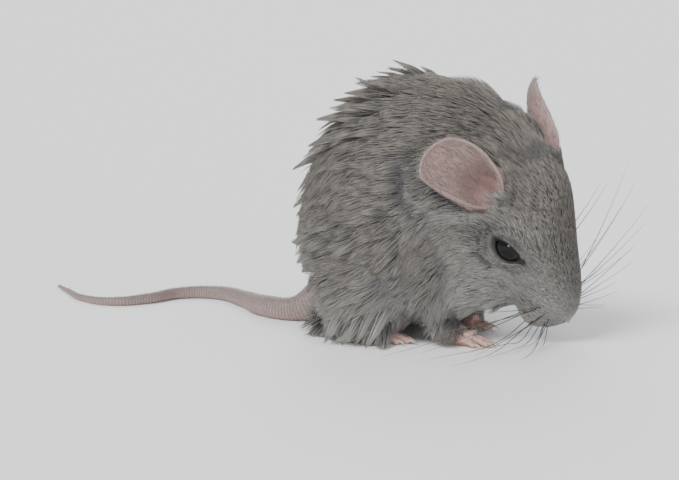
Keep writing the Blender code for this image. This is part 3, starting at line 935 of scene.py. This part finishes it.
# The fur is longer on the nape, low on the sides and at the wrists, and shorter on the muzzle,
# round the eyes and beside bare skin. It is calm, without standing locks, where the back is sleek,
# on the scruff and round the root of the tail.
muzzle = shares["face"] * fade(forward_on_head, -13, -2)
nape = shares["face"] * fade(forward_on_head, -16, -25)
low_side = shares["trunk"] + shares["haunch"] + 0.6 * shares["neck"]
low_side *= fade(skin_points[:, 2], 11 * MM, 4 * MM)
wrist = shares["foreleg"] * fade(skin_points[:, 2], 7 * MM, 3 * MM)
size_of = (1 - 0.5 * muzzle + 0.8 * nape) * (0.35 + 0.65 * fade(bare, 0.2 * MM, 2.2 * MM))
size_of *= 0.35 + 0.65 * fade(reach_of_lids, LID_RIM, 3.0)
size_of += 0.45 * low_side + 0.5 * wrist
sleek = shares["trunk"] * fade(skin_points[:, 0], 22 * MM, 29 * MM)
sleek *= fade(skin_points[:, 2], 17 * MM, 23 * MM)
scruff = (shares["neck"] + shares["face"]) * fade(skin_points[:, 0], 28 * MM, 32 * MM)
scruff *= fade(skin_points[:, 0], 38 * MM, 35 * MM) * fade(skin_points[:, 2], 26 * MM, 30 * MM)
size_of *= (1 - 0.15 * sleek) * (1 - 0.5 * round_tail_root(skin_points))
calm = np.clip(sleek + scruff + round_tail_root(skin_points), 0, 1)
rear = fade(-skin_normals[:, 0], 0.3, 0.75)
# For each point: length, width, rise and locking of its tufts, face, foreleg, normal and calm.
fields = np.column_stack([
    coat_value(1) * size_of, coat_value(2) * (0.5 + 0.5 * size_of.clip(0, 1)),
    coat_value(3) * size_of * (1 + 0.2 * sleek) * (1 - 0.42 * rear) + 1.5 * scruff,
    coat_value(4) * (1 - 0.6 * calm), shares["face"], shares["foreleg"], skin_normals, calm])


def scatter(count_on_vertex):
    """Roots spread over the skin by these numbers to a square mm: the triangle and where in it."""
    a, b, c = (skin_points[corners[:, i]] for i in range(3))
    areas = np.linalg.norm(np.cross(b - a, c - a), axis=1) / 2 / MM**2
    wanted = areas * count_on_vertex[corners].mean(axis=1)
    count = 100 * round(wanted.sum() / 100)
    triangle = draw.choice(len(corners), size=count, p=wanted / wanted.sum())
    first, second = draw.random((2, len(triangle)))
    fold = first + second > 1
    first[fold], second[fold] = 1 - first[fold], 1 - second[fold]
    return triangle, np.column_stack([1 - first - second, first, second])


def at_roots(values, triangle, within):
    """What the skin's values come to at the roots."""
    return np.einsum("ij,ij...->i...", within, values[corners[triangle]])


def unit(vectors):
    """The same ways with a length of 1."""
    return vectors / np.maximum(np.linalg.norm(vectors, axis=-1, keepdims=True), 1e-12)


def laid_flat(ways, normals):
    """The ways as they lie along the skin."""
    return unit(ways - normals * np.sum(ways * normals, axis=1)[:, None])


tail_root = np.array([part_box("tail_1")[1].x, middle.y * MM, 5 * MM])
HANG, LOW_HANG = 0.22, 1.3  # how much the coat hangs, all over and low down
LEG_LIE = (0.2, 0, -1.0)
EYE_SWEEP, EYE_RING, EYE_RING_FADE = 1.6, 2.4, 1.3  # how strong, then how far from the eye in mm


def lie(points, normals, leg):
    """The lie of the coat: from the nose to the root of the tail, down the legs, round the eyes."""
    away, home = (points - np.array(nose_tip)) / MM, (tail_root - points) / MM
    flow = unit(away / np.sum(away**2, axis=1)[:, None] + home / np.sum(home**2, axis=1)[:, None])
    hang = HANG + LOW_HANG * fade(points[:, 2], 11 * MM, 3 * MM)
    hang *= fade(np.linalg.norm(away, axis=1), 8, 30)
    flow[:, 2] -= hang
    flow = flow * (1 - leg[:, None]) + np.array(LEG_LIE) * leg[:, None]
    for eye in (left_eye, right_eye):
        gap = np.linalg.norm(points - np.array(eye), axis=1)
        sweep = EYE_SWEEP * np.exp(-(gap / MM - EYE_RING) / EYE_RING_FADE)
        flow += unit(points - np.array(eye)) * sweep[:, None]
    return laid_flat(flow, normals)


def turned(flow, normals, angle):
    """The ways turned about the skin's normals by these angles."""
    return flow * np.cos(angle)[:, None] + np.cross(normals, flow) * np.sin(angle)[:, None]


STRAY_TURN, STRAY_SIZE = 0.22, 3.5 * MM
STRAY_WAVES, STRAY_STARTS = np.array([[1.9, 0.7], [-0.8, 1.7], [1.1, -1.3]]), (0.3, 1.9)


def strays(points, normals, flow, spread, scale):
    """Turns the lie by a slow wave that differs from place to place."""
    wave = np.sin(points @ STRAY_WAVES / scale + STRAY_STARTS)
    return turned(flow, normals, spread * (wave[:, 0] + wave[:, 1]) / 2)


triangle, within = scatter(coat_value(0) * grows * (1 + 0.6 * muzzle))
roots = at_roots(skin_points, triangle, within)
values = at_roots(fields, triangle, within)
root_uv = np.einsum("ij,ijk->ik", within, skin_uv[corner_loops[triangle]])
length, width, rise, lock = values[:, :4].T
length, width, rise = length * MM, width * MM, rise * MM
on_face, on_leg = values[:, 4], values[:, 5]
normals, calm = unit(values[:, 6:9]), values[:, 9]
flow = strays(roots, normals, lie(roots, normals, on_leg), STRAY_TURN, STRAY_SIZE)

# Each lock has one middle tuft, the first root in each cell of a grid over the body, and a third as
# many more stand anywhere.
LOCK_SPACING, FACE_LOCK_SPACING, LOCK_TURN = 2.5 * MM, 0.9 * MM, 0.16
# The share of locks that stand off from the coat: anywhere, and more along its outline and fringe.
STANDING, STANDING_AT_EDGE = 0.05, 0.5
spacing = np.where(on_face > 0.5, FACE_LOCK_SPACING, LOCK_SPACING)
cells = np.column_stack([np.floor(roots / spacing[:, None]).astype(int), on_face > 0.5])
middles = np.unique(cells, axis=0, return_index=True)[1]
middles = np.unique([*middles, *draw.choice(len(roots), len(middles) // 3)])
lock_tree = tree_of(roots[middles])
lock_of = np.fromiter((lock_tree.find(root)[1] for root in roots), int, len(roots))

lock_turn = draw.normal(0, LOCK_TURN, len(middles))
outline = np.maximum(fade(normals[middles, 2], 0.45, 0.8), fade(-normals[middles, 0], 0.35, 0.7))
fringe = fade(roots[middles, 2], 9 * MM, 6 * MM) * (1 - on_leg[middles])
odds = STANDING + STANDING_AT_EDGE * np.maximum(outline, fringe)
stands = (draw.random(len(middles)) < odds) * (lock[middles] > 0.75)
lock_size = draw.uniform(0.85, 1.2, len(middles)) + 0.25 * stands
lock_rise = draw.uniform(0.6, 1.3, len(middles)) + 0.5 * (draw.random(len(middles)) < 0.3)
lock_rise = 1 + (lock_rise + 1.4 * stands - 1) * (1 - calm[middles])
lock_shade = draw.normal(0, 1, len(middles))
middle_flow = turned(flow[middles], normals[middles], lock_turn)

# ---- the coat: tufts -----------------------------------------------------------------------------
# A tuft is a thin three-sided blade of hairs that tapers to a point, curved so that it leaves the
# skin at a slant and lies down along the body.

BODY_CURVE = 26 * MM  # the radius that tufts bend to, to keep to the body
BLADE_THINNESS = 0.45
FLOOR_GAP = 0.12 * MM
PATCH = 0.003  # the width of a tuft's patch on the unwrapped skin
# Where each tuft has its stops along it, and the share of its width at each but the last.
LONG_TUFT, SHORT_TUFT = ((0, 0.33, 0.7, 1), (0.75, 1.0, 0.62)), ((0, 0.5, 1), (0.8, 0.9))
TUFT_TWIST, ROOT_SUNK = 0.12, 0.12 * MM
# How far tufts are pulled into their locks: loose ones, middling ones and ones that end in the tip.
LOCK_PULLS, PULL_ODDS = (0.15, 0.55, 0.95), (0.3, 0.35, 0.35)
BACK_FROM = 21 * MM  # the height that parts the back from the flanks


def tuft_path(start, way, up, reach, height, stop):
    """Where tufts are at this stop, from 0 at the root to 1 at the tip."""
    along = reach[:, None] * stop
    hug = along**2 / (2 * BODY_CURVE)
    return start + way * along + up * (height[:, None] * (2 * stop - stop**2) - hug)


def rooted(lines, up, sunk):
    """The lines with their roots sunk in the skin, and kept above the floor."""
    lines[:, 0] -= up * sunk
    lines[:, :, 2] = np.maximum(lines[:, :, 2], FLOOR_GAP)
    return lines


def tuft_lines(chosen, stops):
    """The middle line of each tuft: an array of tufts, stops and xyz."""
    count = len(chosen)
    up, lock_number = normals[chosen], lock_of[chosen]
    core_root = middles[lock_number]
    way = turned(flow[chosen], up, draw.normal(0, TUFT_TWIST, count))
    own = draw.uniform(0.72, 1.08, count)
    pull = lock[chosen] * draw.choice(LOCK_PULLS, count, p=PULL_ODDS)
    pull = np.maximum(pull, 0.9 * stands[lock_number] * (draw.random(count) < 0.85))
    lines = []
    for stop in stops:
        line = tuft_path(roots[chosen], way, up, length[chosen] * own, rise[chosen] * own, stop)
        core = tuft_path(roots[core_root], middle_flow[lock_number], normals[core_root],
                         length[core_root] * lock_size[lock_number],
                         rise[core_root] * lock_rise[lock_number], stop)
        share = (pull * stop**1.4)[:, None]
        lines.append(line * (1 - share) + core * share)
    return rooted(np.stack(lines, axis=1), up, ROOT_SUNK)


def blades(lines, up, broad, shape):
    """Closed three-sided blades round these lines. The shape gives the share of the width at each
    stop but the last, where the blade ends in a point."""
    way = unit(np.gradient(lines, axis=1))
    side = unit(np.cross(way, up[:, None]))
    over = np.cross(side, way)
    rings = []
    for number, share in enumerate(shape):
        half = (broad * share / 2)[:, None]
        for angle in np.radians((90, 210, 330)):
            rings.append(lines[:, number] + side[:, number] * math.cos(angle) * half
                         + over[:, number] * math.sin(angle) * half * BLADE_THINNESS)
    points = np.stack([*rings, lines[:, -1]], axis=1)
    quads = [(3 * j + i, 3 * j + (i + 1) % 3, 3 * j + 3 + (i + 1) % 3, 3 * j + 3 + i)
             for j in range(len(shape) - 1) for i in range(3)]
    last, tip = 3 * (len(shape) - 1), 3 * len(shape)
    ends = [(last + i, last + (i + 1) % 3, tip) for i in range(3)] + [(2, 1, 0)]
    return points, quads, ends


def mesh_of_tufts(name, points, quads, ends, places, marks):
    """One mesh of all these tufts. The places are their roots' on the unwrapped skin, and the marks
    are named values for each vertex of each tuft."""
    count, size = points.shape[:2]
    shift = (np.arange(count) * size)[:, None]
    corners_of_one = np.array([*np.array(quads).ravel(), *np.array(ends).ravel()])
    mesh = bpy.data.meshes.new(name)
    mesh.vertices.add(count * size)
    mesh.vertices.foreach_set("co", points.ravel())
    mesh.loops.add(count * len(corners_of_one))
    mesh.loops.foreach_set("vertex_index", (corners_of_one + shift).ravel())
    totals = np.tile([4] * len(quads) + [3] * len(ends), count)
    mesh.polygons.add(len(totals))
    mesh.polygons.foreach_set("loop_start", np.concatenate([[0], np.cumsum(totals)[:-1]]))
    mesh.update(calc_edges=True)
    for mark, value in marks.items():
        set_mark(mesh, mark, value)
    # A small patch for each tuft, its length up the patch and its sides across it.
    row, column = np.arange(size) // 3, np.arange(size) % 3
    patch = np.column_stack([(column + 0.5 * (row == row[-1])) / 3, row / row[-1]])
    unwrapped = places[:, None] + patch[corners_of_one] * PATCH
    layer = mesh.uv_layers.new(name="OFBake")
    layer.data.foreach_set("uv", unwrapped.ravel().astype(np.float32))
    mesh.shade_smooth()
    return placed(name, mesh)


def tuft_marks(stops, shade, pale):
    """Where each vertex lies along its tuft, and the tuft's shade and paleness."""
    along = np.array([*np.repeat(stops[:-1], 3), 1.0])
    spread = np.ones(len(along))
    return {"along": np.tile(along, (len(shade), 1)), "shade": shade[:, None] * spread,
            "pale": pale[:, None] * spread}


def coat_piece(name, chosen, stops, shape):
    """The tufts on the chosen roots as one object."""
    lines = tuft_lines(chosen, stops)
    points, quads, ends = blades(lines, normals[chosen], width[chosen], shape)
    shade = lock_shade[lock_of[chosen]] * 0.4 + draw.normal(0, 0.8, len(chosen))
    marks = tuft_marks(stops, shade, paleness(roots[chosen], normals[chosen]))
    return mesh_of_tufts(name, points, quads, ends, root_uv[chosen], marks)


shares_at_roots = [at_roots(shares[name], triangle, within) for name in REGIONS]
region_of = np.argmax(np.column_stack(shares_at_roots), axis=1)
on_left, upper = roots[:, 1] > middle.y * MM, roots[:, 2] > BACK_FROM
everywhere = np.ones(len(roots), bool)
coat_pieces = []
for region, name in enumerate(REGIONS):
    levels = (("back", upper), ("flank", ~upper)) if name == "trunk" else ((name, everywhere),)
    form = SHORT_TUFT if name in ("face", "foreleg") else LONG_TUFT
    for side, half in (("left", on_left), ("right", ~on_left)):
        for level, part in levels:
            chosen = np.flatnonzero((region_of == region) & half & part)
            coat_pieces.append(coat_piece(f"coat_{level}_{side}", chosen, *form))

# ---- the coat: down on ears, paws and tail -------------------------------------------------------
# Very short, sparse hairs on the skin that looks bare. They lie flat: up the ears, forward over the
# paws and back along the tail.

# Hairs on a square mm, their length, width and rise in mm.
DOWN = {"ear": (17, 1.05, 0.042, 0.12), "paw": (14, 0.7, 0.055, 0.13), "tail": (9, 0.6, 0.05, 0.13)}
DOWN_STRAY, DOWN_SUNK, DOWN_PALE = 0.16, 0.03 * MM, 0.75
draw = np.random.default_rng(12)


def down_piece(name, kind, where, ways):
    """Fine hairs where the mark is 1, that lie along these ways."""
    count, reach, broad, height = DOWN[kind]
    triangle, within = scatter(where * count)
    root = at_roots(skin_points, triangle, within)
    up = unit(at_roots(skin_normals, triangle, within))
    way = laid_flat(at_roots(ways, triangle, within) + draw.normal(0, DOWN_STRAY, root.shape), up)
    size = (draw.uniform(0.6, 1.1, len(root)) * MM)[:, None]
    stops, shape = SHORT_TUFT
    lines = np.stack([root + (way * reach * stop + up * height * (2 * stop - stop**2)) * size
                      for stop in stops], axis=1)
    lines = rooted(lines, up, DOWN_SUNK)
    points, quads, ends = blades(lines, up, np.full(len(root), broad * MM), shape)
    marks = tuft_marks(stops, draw.normal(0.3, 0.8, len(root)), np.full(len(root), DOWN_PALE))
    places = np.einsum("ij,ijk->ik", within, skin_uv[corner_loops[triangle]])
    return mesh_of_tufts(name, points, quads, ends, places, marks)


on_ear = fade(ear_gap, 0.6 * MM, 0.2 * MM) * (1 - grows)
for side, name in ((1, "left"), (-1, "right")):
    up_the_ear = unit(np.array(on_head(*ear_axes(side)[0]) - nose_tip))
    ways = np.tile(up_the_ear, (len(skin_points), 1))
    half = (left_on_head * side > 0) * on_ear
    coat_pieces.append(down_piece(f"down_ear_{name}", "ear", half, ways))
paw_gap = distances(skin_points, PAWS)
on_paw = fade(paw_gap, 0.5 * MM, 0.1 * MM) * (1 - grows) * fade(skin_normals[:, 2], -0.1, 0.3)
forward_ways = np.tile([1.0, 0, 0], (len(skin_points), 1))
coat_pieces.append(down_piece("down_paws", "paw", on_paw, forward_ways))
tail_ways = unit(np.gradient(tail_line, axis=0))
on_tail = skin_marks["tail"] * (1 - grows) * (skin_points[:, 2] > 0.2 * MM)
coat_pieces.append(down_piece("down_tail", "tail", on_tail, tail_ways[tail_place]))

# ---- the coat: colour ----------------------------------------------------------------------------
# Each hair is slate at the root and grey-brown above, with a paler band below a dark tip. The belly
# is pale grey. Skin under the fur is coloured as the roots of the hairs are.

# Places along a hair, from root to tip, and its colours there.
BACK_HAIR = [(0.0, (0.026, 0.027, 0.032)), (0.32, (0.062, 0.060, 0.061)),
             (0.60, (0.135, 0.124, 0.113)), (0.84, (0.255, 0.230, 0.195)),
             (1.0, (0.110, 0.099, 0.090))]
BELLY_HAIR = [(0.0, (0.085, 0.085, 0.092)), (0.4, (0.29, 0.28, 0.265)), (1.0, (0.55, 0.53, 0.50))]
GUARD_HAIR, GUARD_FROM, GUARD_TO, GUARD_SHARE = (0.030, 0.027, 0.026), 1.3, 1.9, 0.7
COAT_PATCHES = 140  # waves to a metre

coat_colour = bpy.data.node_groups.new("coat_colour", "ShaderNodeTree")
for name in ("Along", "Shade", "Pale"):
    coat_colour.interface.new_socket(name=name, in_out="INPUT", socket_type="NodeSocketFloat")
coat_colour.interface.new_socket(name="Color", in_out="OUTPUT", socket_type="NodeSocketColor")


def blend(tree, share, first, second):
    """A mix of two colours, of which the second has this share."""
    values = {"Factor": share, "A": first, "B": second}
    return new_node(tree, "Mix", values, data_type="RGBA").outputs["Result"]


def maths(tree, operation, *values):
    """A sum on sockets or numbers."""
    return new_node(tree, "Math", dict(enumerate(values)), operation=operation).outputs[0]


def stretched(tree, value, zero, one, most=1.0):
    """0 up to the first limit, most from the second on, and even between."""
    values = {"Value": value, "From Min": zero, "From Max": one, "To Min": 0.0, "To Max": most}
    return new_node(tree, "MapRange", values).outputs["Result"]


given = coat_colour.nodes.new("NodeGroupInput").outputs
hair = blend(coat_colour, given["Pale"], ramp(coat_colour, given["Along"], BACK_HAIR),
             ramp(coat_colour, given["Along"], BELLY_HAIR))
brightness = maths(coat_colour, "MULTIPLY_ADD", given["Shade"], 0.16, 0.82)
brightness = maths(coat_colour, "MULTIPLY_ADD", noise(coat_colour, COAT_PATCHES), 0.36, brightness)
shaded = new_node(coat_colour, "HueSaturation", {"Value": brightness, "Color": hair})
guard_share = stretched(coat_colour, given["Shade"], GUARD_FROM, GUARD_TO, GUARD_SHARE)
grizzled = blend(coat_colour, guard_share, shaded.outputs["Color"], GUARD_HAIR)
feed(coat_colour, coat_colour.nodes.new("NodeGroupOutput").inputs["Color"], grizzled)


def coat_node(tree, **values):
    """The coat's colour in a material, from sockets or numbers."""
    return new_node(tree, "Group", values, node_tree=coat_colour).outputs["Color"]


def mark(tree, name):
    """The mark of this name that the mesh has on its points."""
    return new_node(tree, "Attribute", {}, attribute_name=name).outputs["Fac"]


fur_paint, tree, shader = new_paint("grey_fur", {"Sheen Weight": 0.12, "Sheen Roughness": 0.4})
along_hair = mark(tree, "along")
feed(tree, shader.inputs["Base Color"],
     coat_node(tree, Along=along_hair, Shade=mark(tree, "shade"), Pale=mark(tree, "pale")))
feed(tree, shader.inputs["Roughness"], maths(tree, "MULTIPLY_ADD", along_hair, -0.18, 0.62))
for piece in coat_pieces:
    piece.data.materials.append(fur_paint)
    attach(piece, "root")

# ---- the skin: colour and grain ------------------------------------------------------------------
# Pink-grey bare skin with fine creases, duskier on the ears and the top of the tail, moist on the
# nose and near black at the rims of the lids. Scales ring the tail. Shade is painted deep in the
# ears' cups, inside the nostrils and in the grooves between the tail's scale rings.

SKIN_PINK, EAR_SKIN, EAR_VEIN = (0.60, 0.38, 0.33), (0.42, 0.275, 0.25), (0.34, 0.17, 0.155)
# The near black colour is the lids' own black rims and also painted shade inside the nostrils.
NOSE_SKIN, BLACK_RIM_AND_NOSTRIL_SHADE = (0.50, 0.25, 0.23), (0.009, 0.0075, 0.0075)
# The tail's third colour is painted shade for the grooves between its scale rings.
TAIL_TOP, TAIL_UNDER, TAIL_GROOVE_SHADE = (0.235, 0.18, 0.165), (0.40, 0.29, 0.26), (0.12, 0.085, 0.08)

# The darkest ear colour is painted shade for the bottom of the ear's cup.
EAR_BLOTCH, SKIN_BLOTCH, EAR_FUNNEL_SHADE = (0.30, 0.215, 0.20), (0.45, 0.25, 0.22), (0.17, 0.085, 0.08)
VEIN_SHARES = [(0.0, (0.35, 0.35, 0.35)), (0.06, (0.10, 0.10, 0.10)), (0.2, (0.0, 0.0, 0.0))]

skin_paint, tree, shader = new_paint("mouse_skin", {
    "Subsurface Weight": 0.2, "Subsurface Radius": (1.0, 0.35, 0.22), "Subsurface Scale": 0.0006})


def cells_of(scale, feature="F1"):
    """How far each place is from the middle, or from the edge, of the cell that it is in."""
    values = {"Scale": float(scale), "Vector": object_place(tree)}
    return new_node(tree, "TexVoronoi", values, feature=feature).outputs["Distance"]


blotches, pores = noise(tree, 700, 3.0), noise(tree, 5200)
cell_height, vein_gap = cells_of(4200), cells_of(420, "DISTANCE_TO_EDGE")
splotched = blend(tree, maths(tree, "MULTIPLY", blotches, 0.5), SKIN_PINK, SKIN_BLOTCH)
ear_colour = blend(tree, ramp(tree, vein_gap, VEIN_SHARES), EAR_SKIN, EAR_VEIN)
ear_colour = blend(tree, maths(tree, "MULTIPLY", blotches, 0.4), ear_colour, EAR_BLOTCH)
# Painted shade darkens the ear towards the bottom of its cup.
ear_colour = blend(tree, maths(tree, "MULTIPLY", mark(tree, "funnel_shade"), 0.8), ear_colour, EAR_FUNNEL_SHADE)
facing = new_node(tree, "NewGeometry", {}).outputs["Normal"]
facing_up = new_node(tree, "SeparateXYZ", {"Vector": facing}).outputs["Z"]
tail_colour = blend(tree, stretched(tree, facing_up, -0.5, 0.7), TAIL_UNDER, TAIL_TOP)
# Painted shade darkens the grooves between the tail's scale rings, in step with the rings pressed
# into its flesh.
waver = maths(tree, "MULTIPLY_ADD", pores, 0.12, mark(tree, "tail_run"))
ring_wave = maths(tree, "COSINE", maths(tree, "MULTIPLY", waver, 2 * math.pi / SCALE_RING))
groove_shade = maths(tree, "MAXIMUM", maths(tree, "MULTIPLY_ADD", ring_wave, -0.35, 0.3), 0.0)
tail_colour = blend(tree, groove_shade, tail_colour, TAIL_GROOVE_SHADE)

# Skin under the fur is coloured as the hairs are near the root, on the face a little further up.
short_fur = maths(tree, "MULTIPLY_ADD", pores, 0.5, -0.05)
root_depth = maths(tree, "MULTIPLY_ADD", mark(tree, "face"), short_fur, 0.16)
under_fur = coat_node(tree, Along=root_depth, Shade=0.0, Pale=mark(tree, "pale"))
colour = splotched
# The last colour laid on is near black: the lids' black rims, and painted shade in the nostrils.
for name, over in (("ear", ear_colour), ("nose_pad", NOSE_SKIN), ("tail", tail_colour),
                   ("furred", under_fur), ("black_rim_and_nostril_shade", BLACK_RIM_AND_NOSTRIL_SHADE)):
    colour = blend(tree, mark(tree, name), colour, over)
feed(tree, shader.inputs["Base Color"], colour)

roughness = maths(tree, "MULTIPLY_ADD", mark(tree, "furred"), 0.3, 0.52)
for name, change in (("nose_pad", -0.2), ("black_rim_and_nostril_shade", -0.22)):
    roughness = maths(tree, "MULTIPLY_ADD", mark(tree, name), change, roughness)
feed(tree, shader.inputs["Roughness"], roughness)
grain = maths(tree, "MULTIPLY_ADD", cell_height, 0.6, maths(tree, "MULTIPLY", pores, 0.5))
bump = new_node(tree, "Bump", {"Strength": 0.5, "Distance": 0.00006, "Height": grain})
feed(tree, shader.inputs["Normal"], bump.outputs["Normal"])
skin.data.materials.clear()
skin.data.materials.append(skin_paint)
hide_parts(*FURRED_NODES, *BARE_NODES, *TAIL_NODES[1:])
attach(skin, "root")

# ---- whiskers ------------------------------------------------------------------------------------
# Long, fine, tapering whiskers in rows on the pads beside the nose, and two shorter ones over each
# eye. They are stiff hairs, thick and dark at the root, and bend back a little towards the tip.

WHISKER_ROOT, WHISKER_TIP = 0.068, 0.019  # radii in mm
# How far the whiskers of each side are swung up on the head, as a living mouse moves them.
WHISKER_SWING = {1: 0.04, -1: 0.24}
# How far each side's lower rows point more to the front than its upper ones.
WHISKER_FAN = {1: 0.9, -1: 0.3}
WHISKER_SIDE_LENGTH = {1: 0.95, -1: 1.12}
# Rows from the top of the pad: how high on it, how many whiskers, and how far they point up.
PAD_ROWS = [(1.0, 3, 0.30), (0.2, 4, 0.12), (-0.7, 4, -0.08), (-1.6, 3, -0.28)]
WHISKER_LENGTHS = (21.5, 19.0, 15.0, 10.5)  # from the back of a row to its front
WHISKER_STOPS = (0, 0.25, 0.5, 0.75, 1)
WHISKER_SUNK, WHISKER_BACK, WHISKER_DOWN, WHISKER_STRAY = 0.3, 0.10, 0.05, 0.04
# Those over the eye: how far forward and up their roots are, and their length.
BROW_WHISKERS, BROW_OUT, BROW_WAY = ((-11.2, 6.6, 9.0), (-12.4, 7.0, 7.0)), 4.6, (-0.55, 0.75, 0.9)
# Colours by the distance from the tip of the nose, which is 1 at the reach.
WHISKER_COLOURS = [(0.15, (0.020, 0.017, 0.016)), (0.7, (0.045, 0.039, 0.036)),
                   (1.0, (0.12, 0.108, 0.10))]
WHISKER_REACH = 0.026
draw = np.random.default_rng(5)
head_surface = BVHTree.FromObject(skin, bpy.context.evaluated_depsgraph_get())


def whisker(root, way, reach, side):
    """The route of one whisker from the head's axes, which keeps above the floor."""
    start = head_surface.find_nearest(on_head(*root))[0] / MM
    way = (head_forward * way[0] + head_left * way[1] * side + head_up * way[2]).normalized()
    bend = -head_forward * WHISKER_BACK + Vector((0, 0, -WHISKER_DOWN))
    route = []
    for stop in WHISKER_STOPS:
        place = start + way * (reach * stop - WHISKER_SUNK) + bend * reach * stop**2
        place.z = max(place.z, 0.35 + 0.5 * stop)
        route.append((*place, WHISKER_ROOT + (WHISKER_TIP - WHISKER_ROOT) * stop))
    return route


whisker_paint, tree, shader = new_paint("whisker_hair", {"Roughness": 0.35})
from_nose = new_node(tree, "VectorMath", {0: object_place(tree), 1: nose_tip}, operation="DISTANCE")
whisker_run = maths(tree, "MULTIPLY", from_nose.outputs["Value"], 1 / WHISKER_REACH)
feed(tree, shader.inputs["Base Color"], ramp(tree, whisker_run, WHISKER_COLOURS))
for side, name in ((1, "left"), (-1, "right")):
    routes = []
    for height, count, upward in PAD_ROWS:
        for number in range(count):
            root = (-4.9 + 0.95 * number, side * (3.6 - 0.35 * number), height - 0.25 * number)
            tilt = upward + WHISKER_SWING[side] + draw.normal(0, WHISKER_STRAY)
            ahead = 0.22 * number - 0.26 - WHISKER_FAN[side] * (upward - 0.05)
            way = (ahead + draw.normal(0, WHISKER_STRAY), 1.0, tilt)
            reach = WHISKER_LENGTHS[number] * WHISKER_SIDE_LENGTH[side] * draw.uniform(0.92, 1.06)
            routes.append(whisker(root, way, reach, side))
    for forward, up, reach in BROW_WHISKERS:
        routes.append(whisker((forward, side * BROW_OUT, up), BROW_WAY, reach, side))
    hairs = placed(f"whiskers_{name}", smooth_tubes(f"whiskers_{name}", routes, 6, 1, 1))
    hairs.data.shade_smooth()
    hairs.data.materials.append(whisker_paint)
    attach(hairs, "root")
